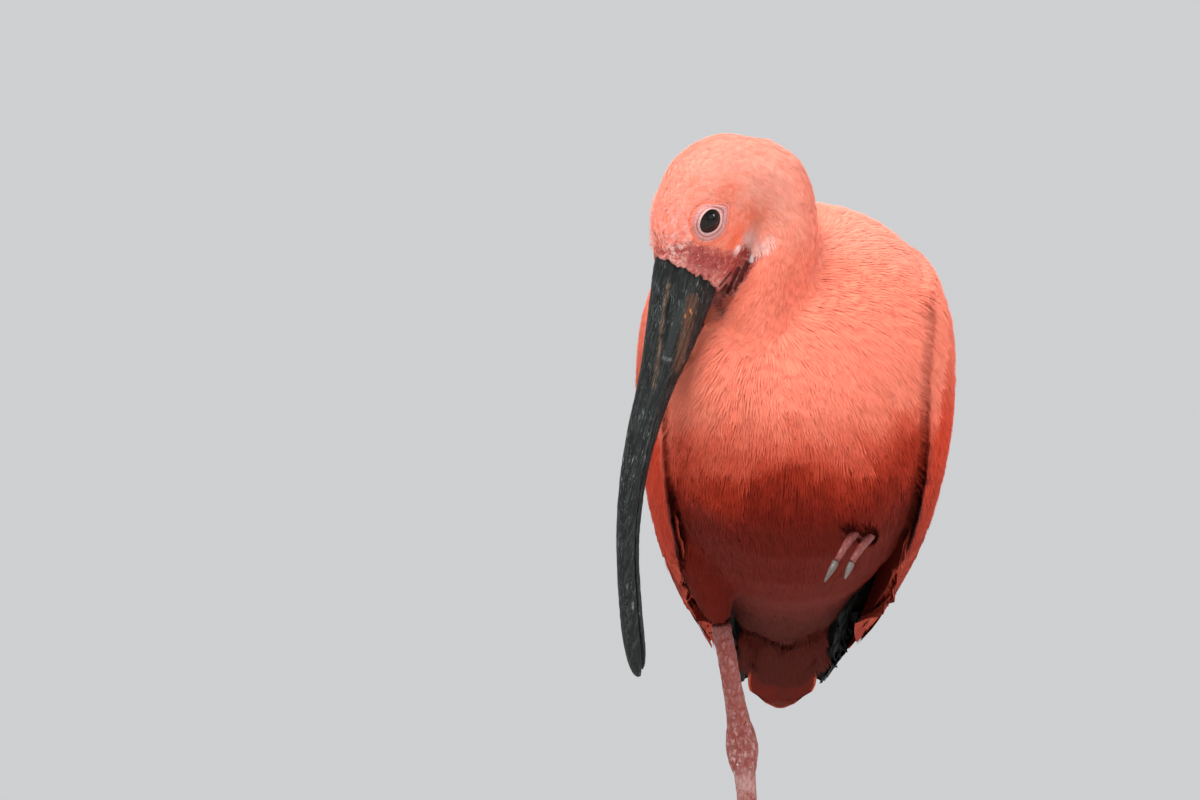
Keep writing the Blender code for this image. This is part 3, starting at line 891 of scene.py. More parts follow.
@dataclass
class Stage:
    """The camera at the photograph's angle, the pale floor and the soft light."""

    view_width: float = 450.0 * MM
    lens: float = 800.0
    sensor: float = 36.0
    subject_back: float = -95.0 * MM
    view_middle: tuple = (-69.79 * MM, 223.9 * MM)
    floor_radius: float = 1.5
    floor_edge: float = 0.55
    clip_end: float = 200.0
    aim: tuple = (0.0, 0.0, 0.19)

    def build(self) -> None:
        """Makes the camera, the lights, the world and the floor."""
        self.add_camera()
        self.add_lights()
        self.add_world()
        self.add_floor()

    def add_camera(self) -> None:
        """Looks along +Y from so far that the head's plane fills the photograph's width."""
        data = bpy.data.cameras.new("camera")
        data.lens = self.lens
        data.sensor_width = self.sensor
        data.clip_end = self.clip_end
        camera = placed("camera", data)
        away = self.view_width * self.lens / self.sensor
        camera.location = (self.view_middle[0], self.subject_back - away, self.view_middle[1])
        camera.rotation_euler = (math.pi / 2, 0.0, 0.0)
        bpy.context.scene.camera = camera
        bpy.context.scene.view_settings.view_transform = "Standard"

    def add_lights(self) -> None:
        """Adds a broad key from above in front, a weak fill, a weak rim and a small window."""
        lights = {
            "key": ((-0.55, -1.05, 2.2), 1.1, 66.0, (1.0, 0.985, 0.96)),
            "fill": ((1.4, -1.8, 0.8), 1.4, 6.0, (0.97, 0.985, 1.0)),
            "rim": ((0.6, 1.5, 1.9), 1.2, 20.0, (1.0, 1.0, 1.0)),
            "window": ((1.05, -0.38, 0.72), 0.32, 4.5, (0.92, 0.97, 1.0)),
        }
        for name, (place, size, power, colour) in lights.items():
            data = bpy.data.lights.new(name, "AREA")
            data.size = size
            data.energy = power
            data.color = colour
            light = placed(name, data)
            light.location = place
            light.rotation_euler = (Vector(self.aim) - light.location).to_track_quat("-Z", "Y").to_euler()

    def add_world(self) -> None:
        """Makes a pale world that is darker straight above and below."""
        sheet = WorldSheet("studio")
        way = sheet.add("ShaderNodeTexCoord", output="Generated")
        steep = abs(sheet.parts(way)[2]).rise(0.05, 0.6)
        sheet.shade(Color=(0.97, 0.98, 1.0), Strength=0.64 - steep * 0.34)
        bpy.context.scene.world = sheet.world

    def add_floor(self) -> None:
        """Lays a round floor whose rim fades into the world."""
        bm = bmesh.new()
        bmesh.ops.create_circle(bm, cap_ends=True, segments=96, radius=self.floor_radius)
        mesh = mesh_of(bm, "floor")
        floor = placed("floor", mesh)
        sheet = NodeSheet("pale_floor")
        away = sheet.vector("LENGTH", sheet.place(), output=1)
        grain = sheet.noise(sheet.place(), 60.0)
        tone = sheet.blend(grain, (0.60, 0.60, 0.59), (0.66, 0.66, 0.65))
        sheet.shade(Base_Color=tone, Roughness=0.85)
        sheet.shade(Alpha=1 - away.rise(self.floor_edge, self.floor_radius * 0.98))
        mesh.materials.append(sheet.material)


@dataclass(frozen=True)
class Line:
    """A short stretch on the head, from one place to another, in head millimetres."""

    start: tuple
    end: tuple
    radius: float
    from_front: bool = False

    def share(self, places: Array) -> Array:
        """Gives 1 on the line and falls smoothly to 0 at its radius.

        Args:
            places: Head places in millimetres.

        Returns:
            One share for each place.
        """
        sight = np.array((HEAD.ahead[1], HEAD.left[1], HEAD.up[1])) * self.from_front
        offset = places - np.array(self.start)
        way = np.array(self.end) - np.array(self.start)
        offset, way = offset - (offset @ sight)[:, None] * sight, way - (way @ sight) * sight
        along = np.clip(offset @ way / (way @ way), 0.0, 1.0)
        gap = np.linalg.norm(offset - along[:, None] * way, axis=1)
        return 1.0 - soft_step(0.0, self.radius, gap)

    def mask(self, sheet: NodeSheet, place: Signal, sharp: float = 0.0) -> Signal:
        """Gives the same share as nodes.

        Args:
            sheet: The material's nodes.
            place: Place on the object.
            sharp: Share of the radius that stays at 1.

        Returns:
            The mask.
        """
        flat = np.array((1.0, 0.0 if self.from_front else 1.0, 1.0))
        start = HEAD.world(*self.start)
        way = (HEAD.world(*self.end) - start) * flat
        offset = sheet.stretch(sheet.vector("SUBTRACT", place, tuple(start)), tuple(flat))
        along = sheet.vector("DOT_PRODUCT", offset, tuple(way / (way @ way)), output=1).most(0.0).least(1.0)
        spot = sheet.add("ShaderNodeVectorMath", {"operation": "SCALE"}, {0: tuple(way), "Scale": along})
        gap = sheet.vector("DISTANCE", offset, spot, output=1)
        return 1 - gap.rise(self.radius * sharp * MM, self.radius * MM)


class FacePlaces:
    """Marks of the bare face, in head millimetres on the bird's left side."""

    PALE_PATCH = Line((-14.5, 10.3, -13.0), (-22.0, 11.8, -20.2), 3.6)
    WHITE_FOLD = Line((-16.6, 9.0, -20.7), (-11.9, 8.7, -20.5), 1.1, True)
    CREASES = (
        Line((-13.9, 9.1, -20.6), (-3.8, 6.6, -19.6), 0.9, True),
        Line((-11.3, 6.0, -20.4), (-0.8, 4.0, -19.4), 1.1, True),
        Line((-8.7, 1.2, -20.3), (1.0, -0.2, -19.1), 1.0, True),
        Line((-5.8, 7.0, -14.4), (0.5, 7.5, -11.0), 0.7, True),
    )
    LORE_FOLDS = (
        Line((-14.5, 12.6, -1.0), (-4.0, 10.2, -7.0), 1.3),
        Line((-12.5, 12.2, -5.0), (-3.0, 9.9, -10.5), 1.1),
        Line((-11.0, 12.0, 3.0), (-2.5, 9.9, -1.0), 1.1),
        Line((-10.0, 10.8, 7.0), (-2.5, 9.0, 4.5), 1.0),
    )

    @staticmethod
    def bare(ahead: Array, up: Array) -> Array:
        """Gives 1 on bare skin and 0 under feathers."""
        edge = -12.0 - 5.5 * soft_step(-6.0, -17.0, up)
        return soft_step(edge - 3.0, edge + 2.5, ahead) * soft_step(-21.7, -20.7, up - 0.1 * (ahead + 10.0))


@dataclass(frozen=True)
class PlumageFinish:
    """Soft, dull feathers with a faint bloom."""

    roughness: float = 0.85
    bloom: float = 0.03
    strand_contrast: float = 0.26
    bloom_tint: tuple = (1.0, 0.52, 0.38)
    shine: float = 0.07

    def dress(self, sheet: NodeSheet, colour: Signal) -> None:
        """Feeds the colour and sets what is the same all over."""
        sheet.shade(Base_Color=colour, Roughness=self.roughness, Specular_IOR_Level=self.shine)
        sheet.shade(Sheen_Weight=self.bloom, Sheen_Roughness=0.45, Sheen_Tint=(*self.bloom_tint, 1.0))

    def coat(self, name: str, winged: bool = False) -> Material:
        """Makes the material of soft tufts, whose colour is read at their roots.

        Args:
            name: The material's name.
            winged: Whether it takes the wings' redder colour.

        Returns:
            The material.
        """
        sheet = NodeSheet(name)
        marks = Markings(sheet, sheet.read("root_place"))
        shade, along, _ = sheet.parts(sheet.read("strand"))
        tone = marks.wing() if winged else marks.colour()
        lift = 1 - self.strand_contrast / 2 + shade * self.strand_contrast + along.rise(0.3, 1.0) * 0.10
        grey = sheet.add("ShaderNodeCombineColor", {}, {0: lift, 1: lift, 2: lift})
        self.dress(sheet, sheet.blend(1.0, tone, grey, "MULTIPLY"))
        return sheet.material

    @staticmethod
    def barbs(strand: list[Signal], by_length: float = 9, by_width: float = 3.2, waves: float = 13) -> Signal:
        """Gives a vane's fine slanting ribs, from 0 to 1.

        Args:
            strand: The vane's own shade and the places along and across it.
            by_length: How fast the ribs follow one another along the vane.
            by_width: How much they slant towards its edges.
            waves: How many ribs a step of 1 has.

        Returns:
            The ribs.
        """
        shade, along, across = strand
        return ((along * by_length + abs(across) * by_width + shade) * waves).sine() * 0.5 + 0.5

    def wing(self, name: str) -> Material:
        """Makes the material of the wings' vanes, with barbs and a darker shaft.

        Args:
            name: The material's name.

        Returns:
            The material.
        """
        sheet = NodeSheet(name)
        marks = Markings(sheet, sheet.place())
        strand = sheet.parts(sheet.read("strand"))
        across = abs(strand[2])
        barbs = self.barbs(strand)
        shaft = 1 - across.rise(0.02, 0.10)
        rank = sheet.noise(sheet.read("root_place"), 900.0, 0.0).rise(0.35, 0.7)
        self.dress(sheet, sheet.paint(
            marks.wing(),
            (rank * 0.3, Tint.ORANGE),
            (barbs * 0.16, Tint.CRIMSON),
            (shaft * 0.35, Tint.CRIMSON),
            (across.rise(0.72, 1.0) * 0.22, Tint.SALMON),
        ))
        sheet.shade(Normal=sheet.bump(barbs + shaft * 2, 0.00012))
        return sheet.material

    def tail(self, name: str) -> Material:
        """Makes the material of the tail's base and blades: painted shade darkens them, and a painted glow of
        backlight runs along the rim.

        Args:
            name: The material's name.

        Returns:
            The material.
        """
        sheet = NodeSheet(name)
        barbs = self.barbs(sheet.parts(sheet.read("strand")))
        reach, aside, _ = sheet.parts(sheet.read("outline"))
        # Painted light: a bright glow along the tail's end and side edges, as if light shone through them.
        end = (reach + aside * aside * 0.11).rise(0.97, 1.03)
        rim = end.most(aside.rise(0.90, 0.99) * reach.rise(0.25, 0.6))
        mottle = sheet.noise(sheet.place(), 150.0)
        # Painted shade: the tail's dark reds stand in for the shade under the body.
        self.dress(sheet, sheet.paint(
            Tint.VENT_SHADE, (mottle, Tint.BELLY_SHADE), (barbs * 0.2, Tint.CRIMSON), (rim * 0.9, Tint.ORANGE)))
        sheet.shade(Normal=sheet.bump(barbs, 0.00010))
        return sheet.material

    def black(self, name: str) -> Material:
        """Makes the material of the black tips of the longest wing feathers.

        Args:
            name: The material's name.

        Returns:
            The material.
        """
        sheet = NodeSheet(name)
        strand = sheet.parts(sheet.read("strand"))
        barbs = self.barbs(strand, 16, 4, 15)
        shaft = 1 - abs(strand[2]).rise(0.03, 0.10)
        tone = sheet.paint(Tint.INK, (barbs * 0.5, Tint.INK_RIB), (shaft * 0.6, Tint.INK_SHAFT))
        sheet.shade(Base_Color=tone, Roughness=0.6 + barbs * 0.1, Specular_IOR_Level=0.12)
        sheet.shade(Normal=sheet.bump(barbs, 0.00006))
        return sheet.material

    def base(self, name: str) -> Material:
        """Makes the material under the wings' vanes.

        Args:
            name: The material's name.

        Returns:
            The material.
        """
        sheet = NodeSheet(name)
        marks = Markings(sheet, sheet.place())
        streaks = sheet.noise(sheet.stretch(sheet.place(), (900.0, 120.0, 120.0)), 1.0)
        self.dress(sheet, sheet.blend(streaks * 0.5, marks.wing(), Tint.CRIMSON))
        return sheet.material


@dataclass(frozen=True)
class SkinFinish:
    """Bare and feathered skin of the head, and the scaled skin of the legs."""

    def body(self) -> Material:
        """Makes the material of the body's and head's skin.

        Returns:
            The material.
        """
        sheet = NodeSheet("skin_of_body")
        place = sheet.place()
        marks = Markings(sheet, place)
        edge = -12 - 5.5 * marks.up.rise(-6.0, -17.0)
        ragged = sheet.noise(place, 520.0, 4.0, 0.65)
        bare = (marks.ahead - edge + (ragged - 0.5) * 11).rise(-3.0, 2.5)
        bare = bare * marks.near(Patch.BARE_FACE).rise(0.3, 0.45)
        bare = bare * (marks.up - (marks.ahead + 10) * 0.1 + (ragged - 0.5) * 1.5).rise(-21.7, -20.7)
        face = self.face_colour(sheet, marks, ragged)
        sheet.shade(Base_Color=sheet.blend(bare, marks.colour(), face), Specular_IOR_Level=0.35)
        sheet.shade(Roughness=0.8 - bare * 0.28)
        pores = sheet.cells(place, 1500.0)
        lines = sheet.noise(sheet.stretch(place, (1.0, 1.0, 0.45)), 1700.0, 2.0)
        sheet.shade(Normal=sheet.bump((pores * 0.6 + lines) * bare, 0.00032))
        return sheet.material

    @staticmethod
    def face_colour(sheet: NodeSheet, marks: Markings, ragged: Signal) -> Signal:
        """Mixes the mottled colours of the bare face, with painted shade in its creases and folds.

        Args:
            sheet: The material's nodes.
            marks: The head's places as nodes.
            ragged: Noise that roughens each patch's edge.

        Returns:
            The colour.
        """
        place = marks.place
        blotch = sheet.noise(place, 420.0, 5.0, 0.7)
        mottle = sheet.noise(place, 640.0, 5.0, 0.75)
        by_bill = marks.ahead.rise(-6.0, -2.0) * ragged.rise(0.34, 0.56)
        shadow = marks.near(Patch.FACE_SHADOW).rise(0.0, 0.6) * sheet.noise(place, 260.0).rise(0.3, 0.6)
        by_lores = marks.near(Patch.OVER_LORES) * ragged.rise(0.44, 0.62)
        left_side = marks.left.rise(-7.0, -3.0)
        # Painted shade along the creases of the lower face and in the folds of the lores.
        creases = [crease.mask(sheet, place, 0.3) * left_side * 0.9 for crease in FacePlaces.CREASES]
        folds = [fold.mask(sheet, place) * 0.35 for fold in FacePlaces.LORE_FOLDS]
        pale = FacePlaces.PALE_PATCH.mask(sheet, place, 0.2) * ragged.rise(0.25, 0.5)
        white = FacePlaces.WHITE_FOLD.mask(sheet, place, 0.4) * left_side
        flecks = 1 - sheet.cells(place, 700.0).rise(0.10, 0.24)
        lores = marks.near(Patch.LORES)
        return sheet.paint(
            Tint.FACE_DARK,
            (blotch.rise(0.36, 0.60), Tint.FACE_RED),
            (mottle.rise(0.50, 0.66) * 0.8, Tint.FACE_PALE),
            (by_bill * 0.6, Tint.FACE_PALE),
            (shadow * 0.55, Tint.FACE_DARK),
            (by_lores * 0.7, Tint.DOWN),
            *((crease, Tint.CREASE_SHADE) for crease in creases),
            *((fold, Tint.FACE_DARK) for fold in folds),
            (pale * 0.9, Tint.DOWN),
            (white, Tint.FACE_WHITE),
            (flecks * lores * 0.8, Tint.FACE_FLECK),
        )

    def lids(self) -> Material:
        """Makes the material of the eyelids' rings, with painted shade in the fold that runs round them.

        Returns:
            The material.
        """
        sheet = NodeSheet("skin_of_eyelids")
        ring, turn, _ = sheet.parts(sheet.read("lid"))
        place = sheet.place()
        mottle = sheet.noise(place, 900.0)
        uneven = ring + (sheet.noise(place, 380.0) - 0.5) * 0.12
        colour = sheet.paint(
            Tint.LID,
            (mottle.rise(0.3, 0.7), Tint.LID_GREY),
            (uneven.hill(0.12, 0.10) * 0.65, Tint.LID_INNER),
            (mottle.rise(0.5, 0.62) * uneven.rise(0.3, 0.5) * 0.5, Tint.FACE_RED),
            # Painted shade in the fold, over the trough in the lids' shape.
            (uneven.hill(0.30, 0.07) * 0.85, Tint.LID_FOLD_SHADE),
            (uneven.hill(0.64, 0.06) * 0.5, Tint.FACE_RED),
            (uneven.rise(0.52, 0.95) * 0.9, Tint.ORANGE),
            (ring.rise(0.03, 0.0) * 0.9, Tint.LID_EDGE),
        )
        sheet.shade(Base_Color=colour, Roughness=0.42, Specular_IOR_Level=0.5)
        creases = sheet.noise(place, 1500.0) + (turn * 46).sine() * 0.12
        sheet.shade(Normal=sheet.bump(creases, 0.0003))
        return sheet.material

    def legs(self) -> Material:
        """Makes the material of the scaled legs and toes, with painted shade on the toes tucked under the
        belly.

        Returns:
            The material.
        """
        sheet = NodeSheet("skin_of_legs")
        place = sheet.place()
        long = sheet.stretch(place, (1.0, 1.0, 0.62))
        plates = sheet.cells(long, 430.0, "DISTANCE_TO_EDGE").rise(0.0, 0.16)
        height = sheet.millimetres(place)[2]
        blotch = sheet.noise(place, 210.0)
        ankle = height.hill(92.0, 17.0)
        flaky = sheet.noise(long, 620.0, 3.0, 0.65)
        scutes = height.hill(78.0, 8.0) * sheet.noise(place, 300.0).rise(0.3, 0.6)
        specks = 1 - sheet.cells(place, 190.0).rise(0.10, 0.17)
        colour = sheet.paint(
            Tint.SHANK_RED,
            (blotch.rise(0.3, 0.7), Tint.SHANK),
            (flaky.rise(0.45, 0.66) * (0.35 + ankle * 0.6), Tint.SHANK_PALE),
            ((1 - plates) * 0.55, Tint.SHANK_RED),
            (scutes * 0.8, Tint.SHANK_PALE),
            (specks * ankle, Tint.SHANK_SPECK),
            # Painted shade on the tucked toes, high up under the belly.
            (height.rise(128.0, 142.0) * 0.75, Tint.TUCKED_TOE_SHADE),
        )
        sheet.shade(Base_Color=colour, Roughness=0.5 + flaky * 0.15, Specular_IOR_Level=0.45)
        sheet.shade(Normal=sheet.bump(plates + flaky * 0.4, 0.00028))
        return sheet.material


@dataclass
class Eyelids:
    """Two rings of wrinkled skin that close round each eye."""

    ball: float = 6.0
    clearance: float = 0.10
    opening_long: float = 4.6
    opening_short: float = 3.95
    opening_turn: float = math.radians(16.0)
    opening_ahead: float = 0.9
    opening_up: float = -0.3
    rim: float = 7.9
    rim_lean: float = 0.9
    lean_turn: float = math.radians(-50.0)
    rear_corner: float = 3.0
    front_corner: float = 1.0
    corner_turns: tuple = (math.radians(216.0), math.radians(-2.0))
    thickness: float = 0.34
    rings: int = 34
    spokes: int = 120
    corner_width: float = 0.36
    fold_height: float = 0.13
    wrinkle_height: float = 0.08
    trough_depth: float = 0.20
    trough_place: float = 0.30
    trough_width: float = 0.045
    over_ball: float = 0.15
    over_skin: float = 0.15
    tucked: float = 0.9
    socket_depth: float = 3.6
    skin_height: float = 12.0
    cast_from: float = 40.0
    cast_reach: float = 80.0 * MM

    def reach(self, turn: Array) -> Array:
        """Gives the outer rim's distance from the eye's axis at each turn, with its two drawn-out corners.

        Args:
            turn: Angles about the eye's axis.

        Returns:
            One distance for each angle.
        """
        rear, front = (
            np.exp(-np.abs(np.angle(np.exp(1j * (turn - corner))) / self.corner_width) ** 1.5)
            for corner in self.corner_turns)
        lean = self.rim_lean * np.cos(turn - self.lean_turn)
        return self.rim + lean + self.rear_corner * rear + self.front_corner * front

    def plan(self, places: Array, side: int) -> tuple[Array, Array, Array]:
        """Gives distance from the eye's axis, turn about it and the rim's distance there.

        Args:
            places: Head places in millimetres.
            side: 1 for the left eye and -1 for the right.

        Returns:
            Distance, turn and the rim's distance.
        """
        ahead = places[:, 0] + HEAD.eye_back / MM - self.opening_ahead
        up = places[:, 2] - HEAD.eye_up / MM - self.opening_up
        turn = np.arctan2(up, ahead)
        return np.hypot(ahead, up), turn, np.where(places[:, 1] * side > 0, self.reach(turn), 0.0)

    def clear(self, places: Array) -> Array:
        """Gives 0 on the lids and 1 outside their rims.

        Args:
            places: Head places in millimetres.

        Returns:
            One share for each place.
        """
        free = np.ones(len(places))
        for side in (1, -1):
            gap, _, rim = self.plan(places, side)
            outside = soft_step(0.97, 1.04, gap / np.maximum(rim, 1e-6))
            free = np.minimum(free, np.where(rim > 0, outside, 1.0))
        return free

    def socket(self, places: Array) -> Array:
        """Gives how far the skin under the lids moves in, in millimetres.

        Args:
            places: Head places in millimetres.

        Returns:
            One depth for each place.
        """
        depth = np.zeros(len(places))
        for side in (1, -1):
            gap, _, rim = self.plan(places, side)
            inside = 1.0 - soft_step(0.55, 0.98, gap / np.maximum(rim, 1e-6))
            depth = np.maximum(depth, np.where(rim > 0, inside * self.socket_depth, 0.0))
        return depth

    def build(self, skin: Surface, side: int) -> tuple[Array, Array, Array]:
        """Makes one eye's lids.

        Args:
            skin: The head's skin before the socket is pushed in.
            side: 1 for the left eye and -1 for the right.

        Returns:
            Points, triangles and the lid attribute.
        """
        turn = np.arange(self.spokes) * 2.0 * math.pi / self.spokes
        share = np.concatenate([[-0.10, -0.05], np.linspace(0.0, 1.0, self.rings) ** 1.15, [1.05]])
        ring, spoke = np.meshgrid(share, turn, indexing="ij")
        leaning = spoke - self.opening_turn
        opening = self.opening_long * self.opening_short / np.hypot(
            self.opening_short * np.cos(leaning), self.opening_long * np.sin(leaning))
        gap = opening + (self.reach(spoke) - opening) * np.maximum(ring, 0.0)
        ahead = -HEAD.eye_back / MM + self.opening_ahead + gap * np.cos(spoke)
        up = HEAD.eye_up / MM + self.opening_up + gap * np.sin(spoke)
        from_eye = np.hypot(ahead + HEAD.eye_back / MM, up - HEAD.eye_up / MM)
        eye_out = HEAD.local(HEAD.eyes["left"])[1]
        shell = self.ball + self.clearance
        on_ball = eye_out + np.sqrt(np.maximum(shell**2 - from_eye**2, 0.0))
        outside = HEAD.world(ahead.ravel(), np.full(ahead.size, self.cast_from * side), up.ravel())
        inward = np.broadcast_to(-HEAD.left * side, outside.shape)
        rim_height = self.cast_from - skin.hit(outside, inward, self.cast_reach) / MM
        rim_height = np.where(np.isfinite(rim_height), rim_height, self.skin_height).reshape(ring.shape)
        place = np.stack([ahead, up, np.full(ahead.shape, side * 3.0)], axis=-1)
        over = np.maximum(ring, 0.0)
        lip = self.thickness * soft_step(-0.02, 0.07, ring)
        waves = over * 24.0 + 1.6 * np.sin(spoke * 2 + 0.6) + ripple(place, 4.5, 5) * 1.8
        folds = self.fold_height * np.cos(waves)
        folds *= soft_step(0.08, 0.25, ring) * (1 - soft_step(0.8, 1.0, ring))
        wrinkles = self.wrinkle_height * ripple(place, 1.5, 9) * soft_step(0.12, 0.3, ring)
        wrinkles *= 1 - soft_step(0.85, 1.0, ring)
        trough = -self.trough_depth * hump(ring, self.trough_place, self.trough_width)
        margin = on_ball[2] + self.thickness
        height = margin + (rim_height[-2] + self.over_skin - margin) * over ** 1.2
        inside = from_eye < shell
        height = np.where(inside, np.maximum(height, on_ball + lip), height) + folds + wrinkles + trough
        height = np.where(inside, np.maximum(height, on_ball + self.over_ball), height)
        height = np.where(ring < 0.001, on_ball - 3.5 * np.maximum(-ring, 0.0), height)
        height = np.where(ring > 1.0, rim_height - self.tucked, height)
        points = HEAD.world(ahead.ravel(), height.ravel() * side, up.ravel())
        triangles = grid_triangles(len(share), self.spokes, closed=True)
        if side > 0:
            triangles = triangles[:, ::-1]
        lid = np.stack([over.ravel(), spoke.ravel(), np.ones(over.size)], axis=1)
        return points, triangles, lid


def grid_triangles(rows: int, columns: int, closed: bool) -> Array:
    """Gives the triangles of a grid of points, whose columns may run round to the first again.

    Args:
        rows: Rows of points.
        columns: Points in a row.
        closed: Whether the last column meets the first.

    Returns:
        Rows of three indices.
    """
    row = np.arange(rows - 1)[:, None]
    column = np.arange(columns if closed else columns - 1)[None, :]
    following = (column + 1) % columns
    a, b = row * columns + column, row * columns + following
    c, d = (row + 1) * columns + following, (row + 1) * columns + column
    return np.stack([np.stack([a, b, c], -1), np.stack([a, c, d], -1)], axis=2).reshape(-1, 3)


@dataclass
class Skin:
    """One skin over head, neck, trunk, thigh, legs and toes, set in by the coat's depth."""

    flesh: tuple = ("trunk", "neck", "head", "thigh_right")
    bill: tuple = ("bill_upper", "bill_lower")
    legs: tuple = ("tibia_right", "ankle_right", "tarsus_right", "toe_right_inner", "toe_right_middle",
                   "toe_right_outer", "toe_right_hind", "toe_left_middle", "toe_left_inner")
    voxel: float = 1.35 * MM
    leg_voxel: float = 0.60 * MM
    swell: float = 0.25 * MM
    body_depth: float = 1.9 * MM
    head_depth: float = 0.8 * MM
    face_depth: float = 0.25 * MM
    face_back: float = -36.0
    face_front: float = 6.0
    leg_swell: float = 0.2 * MM
    scute: float = 2.3
    band: float = 3.6
    # Depths and heights of the relief, in millimetres.
    crease_depth: float = 0.75
    lore_depth: float = 0.35
    patch_height: float = 0.5
    white_height: float = 0.75
    lip_height: float = 0.35
    dive_depth: float = 1.5
    groove_depth: float = 0.22
    band_depth: float = 0.2
    pebble_height: float = 0.11
    leg_sink: float = 0.30
    # Folds that are smoothed away: the place as the solids' script writes it, how far the smoothing is full
    # and where it ends, in metres, and its rounds.
    folds: tuple = (
        ((-22.0, -80.0, 240.0), 0.015, 0.032, 19), ((-19.0, -64.0, 322.0), 0.008, 0.022, 29),
        ((-13.0, -70.0, 294.0), 0.007, 0.018, 55),
    )
    lids: Eyelids = field(default_factory=Eyelids)
    surface: Surface = None
    owners: Array = None

    def build(self) -> None:
        """Makes the skin and keeps the surface that feathers lie on."""
        mesh = Flesh(self.flesh + self.bill, self.swell).remeshed(self.voxel)
        self.soften(mesh, arrays_of(mesh)[0])
        points, triangles = arrays_of(mesh)
        normals = point_normals(points, triangles)
        local = HEAD.local(points)
        points -= normals * self.depth(local)[:, None]
        write_points(mesh, points)
        self.owners = self.nearest_flesh(points)
        beyond = (self.owners >= len(self.flesh)) & (local[:, 0] > self.face_front)
        self.surface = Surface(points, triangles[~beyond[triangles].any(axis=1)])
        self.finish_face(mesh, beyond)
        parts = [self.face_arrays(mesh), self.leg_arrays()]
        parts += [(*self.lids.build(self.surface, side), 1) for side in (1, -1)]
        self.join(parts)

    def soften(self, mesh: Mesh, points: Array) -> None:
        """Takes the solids' facets off, gently where the shape is small.

        Args:
            mesh: The skin.
            points: Its points before it is softened.
        """
        local = HEAD.local(points)
        bill = soft_step(-3.0, 3.0, local[:, 0]) * (np.abs(local[:, 1]) < 14)
        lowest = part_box("thigh_right")[0].z
        below = 1.0 - soft_step(lowest, lowest + 0.045, points[:, 2])
        tail = soft_step(0.03, 0.075, points[:, 1])
        share = 1.0 - np.maximum(bill * 0.9, np.maximum(below * 0.8, tail * 0.6))
        Flesh.soften(mesh, 17, share)
        for number, (place, start, end, rounds) in enumerate(self.folds):
            gap = np.linalg.norm(points - drawn(*place), axis=1)
            Flesh.soften(mesh, rounds, (share if number == 0 else 1.0) * (1.0 - soft_step(start, end, gap)))

    def depth(self, local: Array) -> Array:
        """Gives how far the skin lies inside the coat's outside.

        Args:
            local: Head places of the skin's points.

        Returns:
            One depth for each point.
        """
        aside = np.hypot(local[:, 1], local[:, 2] + 2)
        head = soft_step(-75.0, -52.0, local[:, 0]) * soft_step(40.0, 26.0, aside)
        face = soft_step(-34.0, -16.0, local[:, 0]) * head
        inner = self.body_depth + (self.head_depth - self.body_depth) * head
        return inner + (self.face_depth - inner) * face

    def nearest_flesh(self, points: Array) -> Array:
        """Gives the number of the solid that each point came from.

        Args:
            points: The skin's points.

        Returns:
            The solid's number for each point.
        """
        gaps = []
        for name in self.flesh + self.bill:
            bm = bmesh.new()
            bm.from_mesh(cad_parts[name].data)
            tree = BVHTree.FromBMesh(bm)
            bm.free()
            gaps.append([tree.find_nearest(place)[3] for place in points.tolist()])
        return np.argmin(np.array(gaps), axis=0)

    def finish_face(self, mesh: Mesh, beyond: Array) -> None:
        """Refines the face, cuts the bill's part away and models the bare skin.

        Args:
            mesh: The body's skin.
            beyond: Which of its points lie on the bill.
        """
        bm = bmesh.new()
        bm.from_mesh(mesh)
        gone = [vert for vert, cut in zip(bm.verts, beyond) if cut]
        bmesh.ops.delete(bm, geom=gone, context="VERTS")
        for _ in range(2):
            fine = self.on_face(np.array([vert.co for vert in bm.verts]))
            bm.verts.index_update()
            edges = [edge for edge in bm.edges if fine[edge.verts[0].index] and fine[edge.verts[1].index]]
            bmesh.ops.subdivide_edges(bm, edges=edges, cuts=1, use_grid_fill=True)
        bmesh.ops.triangulate(bm, faces=bm.faces)
        bm.to_mesh(mesh)
        bm.free()
        near = self.on_face(arrays_of(mesh)[0], 2.0)
        Flesh.soften(mesh, 4, near.astype(float))
        points, triangles = arrays_of(mesh)
        normals = point_normals(points, triangles)
        local = HEAD.local(points)
        rise = self.face_relief(local) * near
        points += normals * (rise * MM)[:, None]
        sideways = np.where(local[:, 1] > 0, 1.0, -1.0)
        points -= sideways[:, None] * HEAD.left * (self.lids.socket(local) * near * MM)[:, None]
        write_points(mesh, points)

    def on_face(self, places: Array, margin: float = 0.0) -> Array:
        """Tells which places are on the face.

        Args:
            places: Points in the frame.
            margin: How much wider the face counts.

        Returns:
            True for each place on it.
        """
        ahead, left, up = np.moveaxis(HEAD.local(places), -1, 0)
        inside = (np.abs(left) < 19 + margin) & (np.abs(up + 1.5) < 22 + margin)
        return inside & (ahead > self.face_back - margin) & (ahead < self.face_front + margin)

